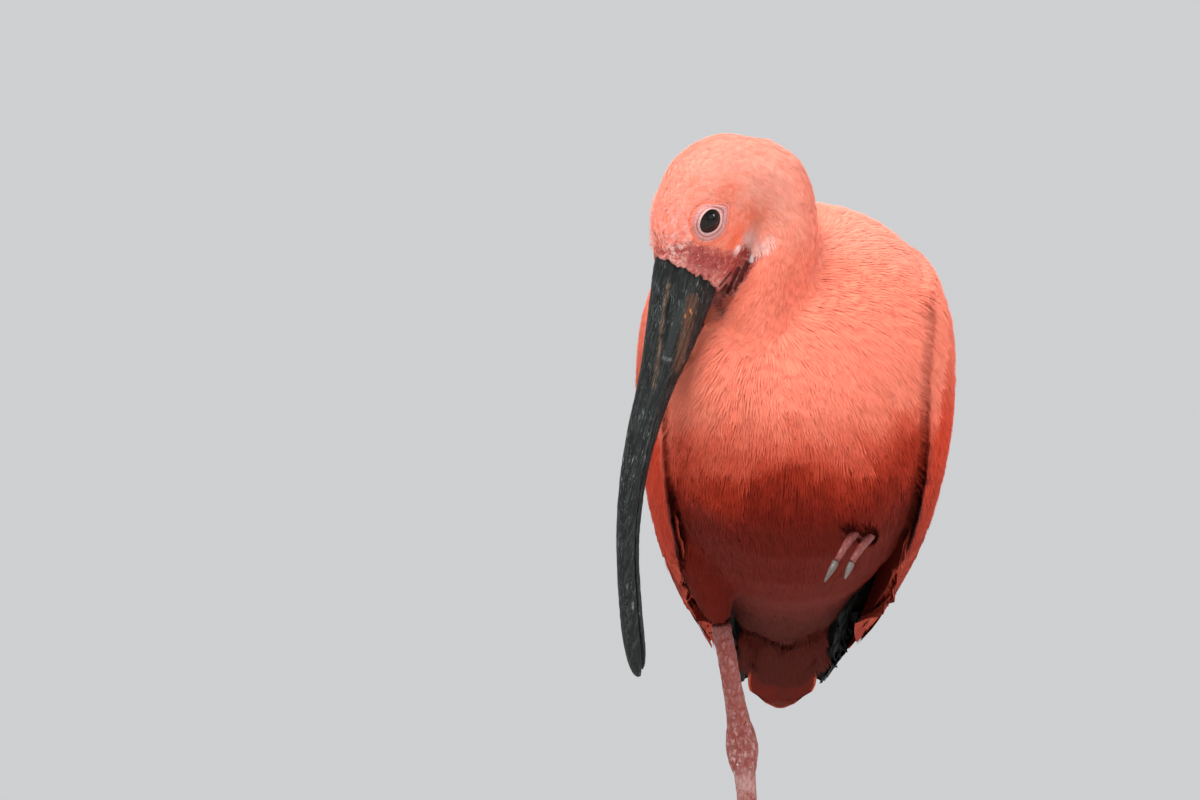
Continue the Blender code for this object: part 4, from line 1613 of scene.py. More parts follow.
    def face_relief(self, local: Array) -> Array:
        """Gives the bare skin's folds, pebbles and its scalloped rim over the bill, in millimetres.

        Args:
            local: Head places of the skin's points.

        Returns:
            One height for each point.
        """
        from_left = mirrored(local)
        bare = FacePlaces.bare(local[:, 0], local[:, 2])
        rise = 0.13 * ripple(local, 3.6, 21) + 0.07 * ripple(local, 1.5, 22)
        rise = rise * bare
        for crease in FacePlaces.CREASES:
            rise -= self.crease_depth * crease.share(from_left)
        for fold in FacePlaces.LORE_FOLDS:
            rise -= self.lore_depth * fold.share(from_left)
        rise += (self.patch_height * FacePlaces.PALE_PATCH.share(from_left)
                 + self.white_height * FacePlaces.WHITE_FOLD.share(from_left))
        turn = np.arctan2(local[:, 2], local[:, 1])
        rim = -0.6 - 2.9 * soft_step(2.0, 14.0, local[:, 2]) + 3.2 * soft_step(-2.0, -14.0, local[:, 2])
        rim += 0.50 * np.sin(turn * 7.0 + 2.0 * np.sin(turn * 3.0)) + 0.22 * np.sin(turn * 31.0)
        rim += 0.38 * np.sin(turn * 15.0 + 1.0 + 1.5 * np.sin(turn * 4.0))
        dive = soft_step(rim - 0.35, rim + 0.55, local[:, 0])
        lip = hump(local[:, 0], rim - 1.0, 1.1)
        return rise * (1 - dive) + self.lip_height * lip * (1 - dive) - self.dive_depth * dive

    @staticmethod
    def face_arrays(mesh: Mesh) -> tuple[Array, Array, Array, int]:
        """Gives the body's part of the skin."""
        points, triangles = arrays_of(mesh)
        return points, triangles, np.zeros_like(points), 0

    def leg_arrays(self) -> tuple[Array, Array, Array, int]:
        """Gives the legs' part of the skin, with scutes across the toes and shank.

        Returns:
            Points, triangles, an empty lid attribute and the material's number.
        """
        mesh = Flesh(self.legs, self.leg_swell).remeshed(self.leg_voxel)
        Flesh.soften(mesh, 9)
        points, triangles = arrays_of(mesh)
        normals = point_normals(points, triangles)
        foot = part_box("tarsus_right")
        middle = np.array(foot[0] + foot[1]) / 2
        millimetres = points / MM
        reach = np.hypot(points[:, 0] - middle[0], points[:, 1] - middle[1]) / MM
        toe = 1.0 - soft_step(0.008, 0.012, points[:, 2])
        front = soft_step(0.1, 0.7, -normals[:, 1]) * (1 - toe)
        grooves = np.abs(np.sin(np.pi * reach / self.scute)) ** 0.5 * toe
        grooves *= soft_step(-0.1, 0.4, normals[:, 2])
        level = millimetres[:, 2] + 0.6 * ripple(millimetres, 9.0, 3)
        bands = np.abs(np.sin(np.pi * level / self.band)) ** 0.5 * front
        pebbles = self.pebble_height * ripple(millimetres, 3.1, 31) * (1 - toe)
        rise = self.groove_depth * grooves + self.band_depth * bands + pebbles - self.leg_sink
        points += normals * (rise * MM)[:, None]
        points[:, 2] = np.maximum(points[:, 2], 0.0)
        return points, triangles, np.zeros_like(points), 2

    def join(self, parts: list) -> None:
        """Makes one object of the parts, whose last entries are their materials' numbers.

        Args:
            parts: Points, triangles, lid attribute and material number of each.
        """
        mesh = triangle_mesh("skin", *chained(parts))
        write_vectors(mesh, "lid", np.concatenate([part[2] for part in parts]))
        numbers = np.concatenate([np.full(len(part[1]), part[3], dtype=np.int32) for part in parts])
        finish = SkinFinish()
        materials = [finish.body(), finish.lids(), finish.legs()]
        Piece("skin", mesh, materials, "body_plumage", self.flesh + self.legs)
        mesh.polygons.foreach_set("material_index", numbers)


@dataclass
class Eyes:
    """Two dark, wet eyeballs with a raised cornea."""

    radius: float = 6.0
    cornea: float = 0.45
    cornea_reach: float = 4.6
    pupil: float = 2.3
    iris: float = 4.9

    def build(self) -> None:
        """Makes both eyes."""
        for side, sign in SIDES:
            bm = bmesh.new()
            bmesh.ops.create_uvsphere(bm, u_segments=64, v_segments=48, radius=self.radius * MM)
            points, triangles = arrays_of(mesh_of(bm, "ball"))
            gap = np.hypot(points[:, 0], points[:, 1]) / MM
            bulge = self.cornea * np.clip(1 - (gap / self.cornea_reach) ** 2, 0, None) ** 1.3
            points[:, 2] += bulge * (points[:, 2] > 0) * MM
            turn = np.array(Vector(HEAD.left * sign).to_track_quat("Z", "X").to_matrix())
            mesh = triangle_mesh("eye_ball_" + side, points @ turn.T + HEAD.eyes[side], triangles)
            Piece("eye_ball_" + side, mesh, [self.material(side)], "eyes", ("eye_" + side,))

    def material(self, side: str) -> Material:
        """Makes the iris and pupil under a clear coat.

        Args:
            side: left or right.

        Returns:
            The material.
        """
        sheet = NodeSheet("eye_of_" + side)
        offset = sheet.vector("SUBTRACT", sheet.place(), tuple(HEAD.eyes[side]))
        ahead, up = (sheet.along(offset, axis) for axis in (HEAD.ahead, HEAD.up))
        gap = (ahead * ahead + up * up) ** 0.5
        iris = sheet.blend(sheet.noise(sheet.place(), 1400.0), Tint.IRIS, Tint.IRIS_FIBRE)
        around = gap.rise(self.iris - 0.1, self.iris + 0.2)
        outside_pupil = gap.rise(self.pupil - 0.15, self.pupil + 0.2)
        colour = sheet.paint(Tint.PUPIL, (outside_pupil, iris), (around, Tint.IRIS_RIM))
        sheet.shade(Base_Color=colour, Roughness=0.04, Specular_IOR_Level=0.12)
        sheet.shade(Coat_Weight=0.3, Coat_Roughness=0.01)
        return sheet.material


@dataclass
class Bill:
    """The long curved bill: two horny halves that meet along the mouth's line."""

    # Distance ahead of the base, height of the middle line, half width, half height.
    stations: tuple = (
        (-4.0, 0.0, 8.2, 13.0), (0.0, 0.0, 8.6, 13.4), (23.5, -0.3, 7.0, 10.2), (42.0, 0.4, 5.6, 7.2),
        (60.0, 0.8, 4.9, 5.9), (78.0, -0.3, 4.5, 4.95), (94.3, -3.1, 4.1, 4.35), (110.0, -7.4, 3.8, 3.9),
        (129.8, -15.0, 3.7, 3.9), (141.3, -20.3, 3.3, 3.4), (147.0, -23.2, 2.2, 2.2),
        (149.0, -24.6, 0.9, 0.8),
    )
    mouth_share: float = 0.3
    lower_shorter: float = 2.5
    half_gap: float = 0.12
    rings: int = 220
    sides: int = 64
    flat: int = 10
    groove_depth: float = 0.75
    slit_depth: float = 1.1
    plate_height: float = 0.30
    edge_height: float = 0.12
    lower_groove_depth: float = 0.30
    ridge_height: float = 0.16
    nostril: Line = Line((10.5, 5.9, 8.1), (22.0, 5.6, 6.1), 1.05)
    groove_tan: Line = Line((3.0, 5.5, 9.5), (44.0, 4.6, 3.4), 1.5)
    plate: Line = Line((11.0, 7.6, 2.6), (33.0, 6.3, 2.4), 2.1)
    plate_end: Line = Line((32.5, 6.0, 3.6), (32.5, 6.3, 0.8), 1.1)
    brown: Line = Line((9.0, 8.0, -1.2), (34.0, 5.6, -3.9), 3.6)

    def build(self) -> None:
        """Makes both halves."""
        material = self.material()
        for name, upper in (("bill_upper", True), ("bill_lower", False)):
            mesh = self.half(upper)
            Piece("horn_of_" + name, mesh, [material], "bill", (name,))

    def half(self, upper: bool) -> Mesh:
        """Makes one half.

        Args:
            upper: True for the upper half.

        Returns:
            Its mesh.
        """
        rows = np.array(self.stations)
        place = (np.linspace(0.0, 1.0, self.rings) ** 0.92) * (len(rows) - 1)
        read = curve_through(rows, place)
        if not upper:
            read[:, 0] -= self.lower_shorter * place / (len(rows) - 1)
        slope = np.gradient(read[:, 1], read[:, 0])
        up = np.stack([-slope, np.ones_like(slope)], axis=1) / np.hypot(slope, 1.0)[:, None]
        start = -math.asin(self.mouth_share)
        sweep = math.pi - 2 * start
        if not upper:
            sweep = sweep - 2 * math.pi
        turn = start + sweep * np.linspace(0.0, 1.0, self.sides)
        ring, angle = np.meshgrid(np.arange(self.rings), turn, indexing="ij")
        proud = self.relief(read[ring, 0], angle, upper)
        across = read[ring, 2] * np.cos(angle) + proud * np.cos(angle)
        along_up = read[ring, 3] * np.sin(angle) + proud * np.sin(angle)
        along_up += self.half_gap if upper else -self.half_gap
        share = np.linspace(0.0, 1.0, self.flat + 2)[1:-1]
        inner_across = across[:, -1:] + (across[:, :1] - across[:, -1:]) * share
        inner_up = along_up[:, -1:] + (along_up[:, :1] - along_up[:, -1:]) * share
        across, along_up = np.hstack([across, inner_across]), np.hstack([along_up, inner_up])
        ahead = read[:, 0][:, None] + up[:, 0][:, None] * along_up
        height = read[:, 1][:, None] + up[:, 1][:, None] * along_up
        points = HEAD.world(ahead.ravel(), across.ravel(), height.ravel())
        columns = across.shape[1]
        triangles = grid_triangles(self.rings, columns, closed=True)
        if upper:
            triangles = triangles[:, ::-1]
        ends = []
        for first, flip in ((0, upper), ((self.rings - 1) * columns, not upper)):
            middle = len(points)
            points = np.vstack([points, points[first:first + columns].mean(axis=0)])
            loop = first + np.arange(columns)
            cap = np.stack([np.full(columns, middle), loop, np.roll(loop, -1)], axis=1)
            ends.append(cap if flip else cap[:, ::-1])
        return triangle_mesh("horn", points, np.concatenate([triangles, *ends]))

    def relief(self, ahead: Array, turn: Array, upper: bool) -> Array:
        """Gives the grooves, plates and growth lines, in millimetres.

        Args:
            ahead: Distance along the bill at each point.
            turn: Angle round it.
            upper: True for the upper half.

        Returns:
            One height for each point.
        """
        height = np.sin(turn)
        place = np.stack([ahead * 0.16, np.cos(turn) * 4, height * 4], axis=-1)
        proud = 0.06 * ripple(place, 2.4, 41) + 0.05 * ripple(place * (6.0, 1.0, 1.0), 3.1, 42)
        if upper:
            line = 0.66 - 0.26 * soft_step(4.0, 62.0, ahead)
            depth = self.groove_depth * (1 - 0.72 * soft_step(22.0, 80.0, ahead))
            depth *= 1 - soft_step(118.0, 140.0, ahead)
            width = 0.11 + 0.05 * soft_step(30.0, 90.0, ahead)
            proud -= depth * hump(height, line, width)
            slit = soft_step(9.5, 12.0, ahead) * (1 - soft_step(20.5, 23.0, ahead))
            proud -= self.slit_depth * slit * hump(height, line, 0.055)
            plate = soft_step(5.0, 14.0, ahead) * (1 - soft_step(31.0, 34.0, ahead))
            proud += self.plate_height * plate * hump(height, 0.20, 0.20, 4)
            proud += self.edge_height * hump(height, -0.24, 0.09)
        else:
            groove = self.lower_groove_depth * hump(height, -0.62, 0.07)
            proud -= groove * (1 - soft_step(110.0, 135.0, ahead))
            ridges = np.sin(ahead * 1.15 + 1.6 * height + 0.8 * ripple(place, 2.0, 43))
            near_base = soft_step(2.0, 7.0, ahead) * (1 - soft_step(26.0, 40.0, ahead))
            proud += self.ridge_height * ridges * near_base
        return proud * (1 - soft_step(138.0, 148.0, ahead) * 0.9)

    def material(self) -> Material:
        """Makes the black horn with its scuffs, its tan groove and its brown patch, and painted shade in the
        nostril's slit.

        Returns:
            The material.
        """
        sheet = NodeSheet("bill_horn")
        place = sheet.place()
        marks = Markings(sheet, place)
        spread = sheet.add("ShaderNodeCombineXYZ", {}, {0: marks.ahead * 0.075, 1: marks.left, 2: marks.up})
        streak = sheet.noise(spread, 1.1, 5.0, 0.65)
        fine = sheet.noise(spread, 3.2, 4.0, 0.7)
        patchy = sheet.noise(place, 90.0)
        scuffed = fine.rise(0.56, 0.70) * patchy.rise(0.40, 0.60) * (1 - marks.ahead.rise(110.0, 140.0) * 0.7)
        chips = sheet.cells(sheet.stretch(place, (1.0, 1.0, 0.3)), 420.0).rise(0.10, 0.26)
        chips = (1 - chips) * patchy.rise(0.5, 0.64) * fine.rise(0.4, 0.55)
        flecks = 1 - sheet.cells(sheet.stretch(place, (1.0, 1.0, 0.5)), 330.0).rise(0.08, 0.22)
        brown = self.both(sheet, marks, self.brown, 0.35)
        tan = self.both(sheet, marks, self.groove_tan, 0.0) * fine.rise(0.42, 0.60) * patchy.rise(0.36, 0.52)
        end = self.both(sheet, marks, self.plate_end, 0.2) * fine.rise(0.4, 0.6)
        colour = sheet.paint(
            Tint.BILL,
            (streak.rise(0.44, 0.70), Tint.BILL_GREY),
            (scuffed * 0.8, Tint.BILL_SCUFF),
            (chips * 0.8, Tint.BILL_SCUFF),
            (brown * (0.35 + streak.rise(0.35, 0.6) * 0.65), Tint.BILL_BROWN),
            (flecks * brown, Tint.BILL_RUST),
            (tan * 0.8, Tint.BILL_TAN),
            (self.both(sheet, marks, self.plate, 0.5) * 0.55, Tint.BILL_GREY),
            (end * 0.5, Tint.BILL_SCUFF),
            # Painted shade inside the nostril's slit.
            (self.both(sheet, marks, self.nostril, 0.35), Tint.NOSTRIL_SHADE),
        )
        sheet.shade(Base_Color=colour, Roughness=0.40 + fine * 0.22, Specular_IOR_Level=0.28)
        sheet.shade(Normal=sheet.bump(streak + fine * 0.7, 0.00030))
        return sheet.material

    @staticmethod
    def both(sheet: NodeSheet, marks: Markings, line: Line, sharp: float) -> Signal:
        """Gives a line's mask on the left side and the same on the right.

        Args:
            sheet: The material's nodes.
            marks: The head's places as nodes.
            line: The mark on the left side.
            sharp: Share of its radius that stays at 1.

        Returns:
            The mask of both.
        """
        start, end = ((ahead, -left, up) for ahead, left, up in (line.start, line.end))
        other = Line(start, end, line.radius)
        return line.mask(sheet, marks.place, sharp).most(other.mask(sheet, marks.place, sharp))


@dataclass(frozen=True)
class Cut:
    """The flat pattern of one feather or tuft: across in half widths, along from root to tip."""

    points: Array
    triangles: Array
    shades: Array

    @staticmethod
    def tuft(seed: int, strands: int = 7, thickness: float = 0.15) -> "Cut":
        """Makes a bunch of fine strands that spread a little.

        Args:
            seed: Number that picks the strands.
            strands: How many.
            thickness: A strand's width in half widths of the tuft.

        Returns:
            The pattern.
        """
        rng = np.random.default_rng(seed)
        points, triangles, shades = [], [], []
        for strand in range(strands):
            root = (strand + 0.5) / strands * 1.5 - 0.75 + rng.uniform(-0.1, 0.1)
            bend = root * rng.uniform(0.2, 0.7) + rng.uniform(-0.25, 0.25)
            begin, end = rng.uniform(0.0, 0.25), rng.uniform(0.78, 1.0)
            wide = thickness * rng.uniform(0.8, 1.25)
            shade = rng.random()
            base = len(points)
            for step in (0.0, 0.38, 0.75):
                middle = root + bend * step**1.6
                along = begin + (end - begin) * step
                points += [(middle - wide / 2, along), (middle + wide / 2, along)]
            points.append((root + bend, end))
            for low in (base, base + 2):
                triangles += [(low, low + 1, low + 3), (low, low + 3, low + 2)]
            triangles.append((base + 4, base + 5, base + 6))
            shades += [shade] * 7
        return Cut(np.array(points), np.array(triangles), np.array(shades))

    @staticmethod
    def vane(seed: int, rows: int = 9, columns: int = 5, point: float = 0.5, fray: float = 0.05) -> "Cut":
        """Makes a feather's vane with a rounded, slightly frayed end.

        Args:
            seed: Number that picks the frayed edge.
            rows: Steps along it.
            columns: Steps across it.
            point: How slowly it narrows to its end, from 0 for square to 1 for long.
            fray: How uneven its edge is.

        Returns:
            The pattern.
        """
        rng = np.random.default_rng(seed)
        along = np.linspace(0.0, 1.0, rows) ** 0.85
        narrowing = np.clip((along - (1 - point)) / point, 0, 1) ** 2.2
        wide = np.clip(along / 0.16, 0.35, 1.0) * np.sqrt(np.clip(1 - narrowing, 0.0, 1.0))
        wide = np.maximum(wide, 0.05)
        across = np.linspace(-1.0, 1.0, columns)
        x = across[None, :] * wide[:, None] * (1 + rng.uniform(-fray, fray, (rows, columns)))
        y = along[:, None] - 0.05 * np.abs(across)[None, :] ** 2 * along[:, None]
        y = y + rng.uniform(-fray, fray, (rows, columns)) * 0.25 * (np.abs(across)[None, :] > 0.5)
        points = np.stack([x.ravel(), np.clip(y, 0, 1).ravel()], axis=1)
        return Cut(points, grid_triangles(rows, columns, closed=False), np.full(len(points), rng.random()))


@dataclass
class Plume:
    """A batch of feathers that share a pattern's style, laid on a surface."""

    cuts: list
    length: float
    width: float
    rise: float
    arch: float = 0.0
    steps: int = 5
    tilt: float = 0.16
    sway: float = 0.12
    vary: float = 0.16
    sink: float = 0.15 * MM
    hover: float = 0.0

    def lay(self, surface: Surface, roots: Array, flow: Callable, seed: int,
            scale: Array | float = 1.0) -> dict:
        """Lays feathers from their roots along the flow.

        Args:
            surface: What they lie on.
            roots: Where they start.
            flow: Gives the lie's direction at places.
            seed: Number that picks their small differences.
            scale: Size of each feather, 1 as named.

        Returns:
            Arrays of the batch: points, triangles, normals, roots and strand values.
        """
        rng = np.random.default_rng(seed)
        count = len(roots)
        scale = np.broadcast_to(scale, (count,)) * rng.uniform(1 - self.vary, 1 + self.vary, count)
        swing = rng.normal(0.0, self.sway, count)[:, None]
        places, normals = surface.nearest(roots)
        path, facing = [places], [normals]
        for _ in range(self.steps):
            way = flat_to(flow(places), normals)
            way = unit(way + np.cross(normals, way) * swing)
            ahead = places + way * (self.length / self.steps) * scale[:, None]
            near, fresh = surface.nearest(ahead + normals * self.hover)
            places = ahead - fresh * dot(ahead - near, fresh)
            normals = fresh
            path.append(places)
            facing.append(normals)
        path, facing = np.stack(path, axis=1), np.stack(facing, axis=1)
        ways = unit(np.gradient(path, axis=1))
        sides = np.cross(ways, facing)
        batch = {key: [] for key in ("points", "triangles", "normals", "roots", "strand")}
        kinds = rng.integers(0, len(self.cuts), count)
        start = 0
        for kind, cut in enumerate(self.cuts):
            mine = np.flatnonzero(kinds == kind)
            if not len(mine):
                continue
            along = np.clip(cut.points[:, 1] * self.steps, 0, self.steps - 1e-6)
            low = along.astype(int)
            share = (along - low)[None, :, None]
            read = [values[mine][:, low] * (1 - share) + values[mine][:, low + 1] * share
                    for values in (path, sides, facing, ways)]
            size = scale[mine][:, None]
            across, onward = cut.points.T
            out = across * self.width * size
            lift = (self.rise + self.sink) * onward ** 0.8 * rng.uniform(0.6, 1.1, (len(mine), 1)) - self.sink
            lift = lift - self.arch * across ** 2 + rng.uniform(0, 0.10 * MM, (len(mine), 1))
            points = read[0] + read[1] * out[..., None] + read[2] * lift[..., None]
            lean = (cut.shades[None, :] - 0.5) * 2 + rng.uniform(-0.5, 0.5, (len(mine), 1))
            sideways = (lean * self.tilt + across * self.tilt * 0.5)[..., None]
            normal = unit(read[2] + read[1] * sideways + read[3] * (onward * 0.12)[None, :, None])
            shade = np.clip(0.50 * cut.shades[None, :] + 0.65 * rng.random((len(mine), 1)) - 0.07, 0, 1)
            strand = np.stack(np.broadcast_arrays(shade, onward, across), axis=-1)
            each = len(cut.points)
            batch["points"].append(points.reshape(-1, 3))
            batch["normals"].append(normal.reshape(-1, 3))
            batch["strand"].append(strand.reshape(-1, 3))
            batch["roots"].append(np.repeat(roots[mine], each, axis=0))
            offsets = start + np.arange(len(mine))[:, None, None] * each
            batch["triangles"].append((cut.triangles[None] + offsets).reshape(-1, 3))
            start += len(mine) * each
        return {key: np.concatenate(values) for key, values in batch.items()}


class Coat:
    """One piece made of batches of feathers."""

    def __init__(self, name: str, axis: tuple, material: Material, slot: str) -> None:
        """Starts an empty piece.

        Args:
            name: The piece's name.
            axis: Long axis that its unwrap turns about.
            material: Its material.
            slot: The record's material slot.
        """
        self.name = name
        self.axis = unit(np.array(axis, dtype=float))
        self.material = material
        self.slot = slot
        self.batches = []

    def add(self, batch: dict) -> None:
        """Takes a batch in."""
        self.batches.append(batch)

    def unwrap(self, roots: Array, strand: Array) -> Array:
        """Gives each point its place on an unwrap of the skin's own shape round the piece's axis.

        Args:
            roots: Root of the feather at each point.
            strand: Place along and across the feather at each point.

        Returns:
            Places from 0 to 1 in both directions.
        """
        middle = roots.mean(axis=0)
        across = unit(np.cross(self.axis, (0.31, 0.22, 0.93)))
        beyond = np.cross(self.axis, across)
        offset = roots - middle
        turn = np.arctan2(offset @ beyond, offset @ across)
        along = offset @ self.axis
        order = np.stack([turn, along], axis=1)
        low, high = order.min(axis=0), order.max(axis=0)
        place = 0.01 + 0.975 * (order - low) / np.maximum(high - low, 1e-9)
        return place + np.stack([strand[:, 2] * 0.0012, strand[:, 1] * 0.003], axis=1)

    def finish(self, nodes: tuple = ()) -> Piece:
        """Makes the piece.

        Args:
            nodes: The solids that it replaces.

        Returns:
            The piece.
        """
        points, triangles = chained([(batch["points"], batch["triangles"]) for batch in self.batches])
        normals, roots, strand = (
            np.concatenate([batch[key] for batch in self.batches]) for key in ("normals", "roots", "strand"))
        mesh = triangle_mesh(self.name, points, triangles)
        write_vectors(mesh, "root_place", roots)
        write_vectors(mesh, "strand", strand)
        places = np.clip(self.unwrap(roots, strand), 0.0, 1.0)[triangles.ravel()]
        mesh.uv_layers.new(name="OFBake").data.foreach_set("uv", places.astype(np.float32).ravel())
        mesh.normals_split_custom_set_from_vertices(normals.astype(np.float32))
        return Piece(self.name, mesh, [self.material], self.slot, nodes)


class Seed:
    """First numbers of the patterns of chance; a batch adds its own number."""

    COAT_ROOTS = 700
    COAT_LIE = 800
    VANE_ROOTS = 900
    VANE_LIE = 920
    DOWN_ROOTS = 940
    DOWN_LIE = 950
    BLACK_LIE = 970
    TAIL_LIE = 980
    BLADE_ROOTS = 990


class Lie:
    """Directions in which the feathers lie."""

    THROAT = drawn(-24.0, -75.0, 273.0)
    NECK_ROOT = drawn(-14.0, -58.0, 246.0)
    DOWN_BACK = np.array((0.0, 0.55, -0.75))
    WING = unit(np.array((0.0, 0.76, -0.62)))
    TAIL = unit(np.array((0.0, 0.88, -0.47)))

    @staticmethod
    def head(places: Array) -> Array:
        """Turns from the bill over the crown and down the neck.

        Args:
            places: Where to ask.

        Returns:
            One direction for each place.
        """
        offset = places - Lie.THROAT
        turning = np.cross(np.array((0.0, 1.0, 0.0)), offset)
        gap = np.linalg.norm(offset * (1.0, 0.3, 1.0), axis=1, keepdims=True)
        down = 1.0 - soft_step(0.020, 0.050, places[:, 2:3] - Lie.NECK_ROOT[2])
        swirl = np.exp(-((gap / 0.055) ** 2))
        return unit(unit(turning) * swirl + np.array((0.0, 0.25, -1.0)) * (1.0 - swirl + down * 0.6))

    @staticmethod
    def trunk(places: Array) -> Array:
        """Spreads from the neck's root down and back.

        Args:
            places: Where to ask.

        Returns:
            One direction for each place.
        """
        offset = places - Lie.NECK_ROOT
        wander = ripple(places, 0.045, 61)[:, None] * np.array((0.16, 0.0, 0.05))
        return unit(0.62 * unit(offset) + Lie.DOWN_BACK + wander)

    @staticmethod
    def thigh(places: Array) -> Array:
        """Runs down the thigh."""
        return np.broadcast_to(unit(np.array((0.05, 0.25, -1.0))), places.shape)

    @staticmethod
    def wing(places: Array) -> Array:
        """Runs along the folded wing."""
        return np.broadcast_to(Lie.WING, places.shape)

    @staticmethod
    def tail(places: Array) -> Array:
        """Runs along the tail."""
        return np.broadcast_to(Lie.TAIL, places.shape)


class Part(Enum):
    """Solids that the body's tufts grow on, in the order that the skin numbers them."""

    TRUNK = 0
    NECK = 1
    HEAD = 2
    THIGH = 3


@dataclass
class Plumage:
    """Soft tufts over the head, neck, trunk and thigh."""

    skin: Skin
    wings: "Wings"
    tail: Surface
    reach_under_wing: float = 9.0 * MM
    over_gap: float = 2.6 * MM
    fringe_reach: float = 7.0 * MM
    covert_reach: float = 20.0 * MM
    tucked_toes: tuple = ("toe_left_middle", "toe_left_inner")
    toe_swell: float = 0.3 * MM
    toe_top: float = 0.60
    toe_reach: float = 7.0 * MM
    toe_count: int = 420
    ruffle_count: int = 520
    covert_side: float = 13.0 * MM
    fringe_count: int = 2600
    covert_count: int = 1100
    head_count: int = 5200
    face_count: int = 6900
    neck_count: int = 3600
    breast_count: int = 5600
    belly_count: int = 4800
    back_count: int = 4800
    thigh_count: int = 1500

    def build(self) -> None:
        """Lays every batch and makes the pieces."""
        surface = self.skin.surface
        toes = self.toe_tops()
        over = Surface.joined([surface, *self.wings.outsides.values(), self.tail, toes])
        grounds = {Lie.head: surface, Lie.tail: Surface.joined([surface, self.tail])}
        centres = surface.centres()
        owner = self.skin.owners[surface.triangles[:, 0]]
        local = HEAD.local(centres)
        normals = unit(surface.normals[surface.triangles].sum(axis=1))
        open_air = self.uncovered(centres, normals)
        back, height = centres[:, 1], centres[:, 2]
        trunk = (owner == Part.TRUNK.value) * open_air
        front = soft_step(0.005, -0.015, back)
        low = soft_step(0.205, 0.195, height)
        head = (owner == Part.HEAD.value) * 1.0
        bare = FacePlaces.bare(local[:, 0], local[:, 2])
        tips = HEAD.local(centres + Lie.head(centres) * 2.4 * MM)
        lids = self.skin.lids
        clear = np.minimum(lids.clear(local), lids.clear(tips)) * (local[:, 0] < -1.0)
        face = soft_step(-40.0, -26.0, local[:, 0])
        for line in (FacePlaces.WHITE_FOLD, FacePlaces.CREASES[0]):
            bare = np.maximum(bare, line.share(mirrored(local)))
        from_forehead = np.linalg.norm(local - np.array((-16.0, 1.0, 16.0)), axis=1)
        by_forehead = soft_step(14.0, 8.0, from_forehead) * (local[:, 0] < -5.0)
        outsides = Surface.joined(list(self.wings.outsides.values()))
        by_wing = self.close_to(centres, trunk > 0, outsides, self.fringe_reach)
        by_tail = self.close_to(centres, trunk > 0, self.tail, self.covert_reach)
        by_tail *= np.abs(centres[:, 0] - self.tail.points[:, 0].mean()) < self.covert_side
        by_toes = self.close_to(centres, trunk > 0, toes, self.toe_reach)
        by_toes *= height > toes.points[:, 2].mean()
        tufts = [Cut.tuft(seed) for seed in range(8)]
        soft = PlumageFinish().coat("soft_plumage")
        up, along = (0, 0, 1), tuple(-Lie.WING)
        jobs = (
            ("coat_of_head", head * clear * (1 - bare) * (1 - face * 0.8), self.head_count, Lie.head, up,
             Plume(tufts, 4.6 * MM, 1.0 * MM, 0.75 * MM)),
            ("coat_of_face", head * clear * face * (1 - bare) ** 1.4, self.face_count, Lie.head, up,
             Plume([Cut.tuft(seed, 5, 0.15) for seed in range(20, 26)], 2.3 * MM, 0.6 * MM, 0.36 * MM)),
            ("coat_of_neck", (owner == Part.NECK.value) * (1 - bare), self.neck_count, Lie.head, up,
             Plume(tufts, 7.0 * MM, 1.3 * MM, 1.2 * MM)),
            ("coat_of_breast", trunk * front * (1 - low), self.breast_count, Lie.trunk, along,
             Plume(tufts, 10.0 * MM, 1.6 * MM, 1.9 * MM)),
            ("coat_of_belly", trunk * low, self.belly_count, Lie.trunk, along,
             Plume(tufts, 11.5 * MM, 1.7 * MM, 1.9 * MM)),
            ("coat_of_back", trunk * (1 - front) * (1 - low), self.back_count, Lie.trunk, along,
             Plume(tufts, 11.0 * MM, 1.7 * MM, 1.8 * MM)),
            ("coat_of_thigh", (owner == Part.THIGH.value) * 1.0, self.thigh_count, Lie.thigh, up,
             Plume(tufts, 9.0 * MM, 1.4 * MM, 1.7 * MM)),
            ("fringe_of_wings", trunk * by_wing, self.fringe_count, Lie.trunk, along,
             Plume(tufts, 14.0 * MM, 1.8 * MM, 2.3 * MM, steps=7)),
            ("coverts_of_tail", trunk * by_tail, self.covert_count, Lie.tail, along,
             Plume(tufts, 20.0 * MM, 2.2 * MM, 2.4 * MM, hover=7.0 * MM)),
            ("ruffle_of_forehead", head * clear * by_forehead, self.ruffle_count, Lie.head, up,
             Plume([Cut.tuft(seed, 4, 0.16) for seed in range(60, 64)], 3.0 * MM, 0.5 * MM, 1.7 * MM)),
            ("tufts_over_toes", trunk * by_toes, self.toe_count, Lie.thigh, along,
             Plume(tufts, 9.0 * MM, 1.5 * MM, 1.6 * MM, steps=8)),
        )
        for number, (name, weight, count, flow, axis, plume) in enumerate(jobs):
            rng = np.random.default_rng(Seed.COAT_ROOTS + number)
            roots, _ = surface.scatter(count, weight * (0.25 + 0.75 * (weight > 0.5)), rng)
            coat = Coat(name, axis, soft, "body_plumage")
            if flow != Lie.head:
                plume.hover = plume.hover or self.over_gap
            coat.add(plume.lay(grounds.get(flow, over), roots, flow, Seed.COAT_LIE + number))
            coat.finish()

    def toe_tops(self) -> Surface:
        """Gives the upper ends of the tucked toes, which feathers lie over.

        Returns:
            Their upper triangles.
        """
        bm = Flesh(self.tucked_toes, self.toe_swell).bm
        bmesh.ops.triangulate(bm, faces=bm.faces)
        points, triangles = arrays_of(mesh_of(bm, "toe_tops"))
        height = points[triangles].mean(axis=1)[:, 2]
        low, high = height.min(), height.max()
        return Surface(points, triangles[height > low + self.toe_top * (high - low)])

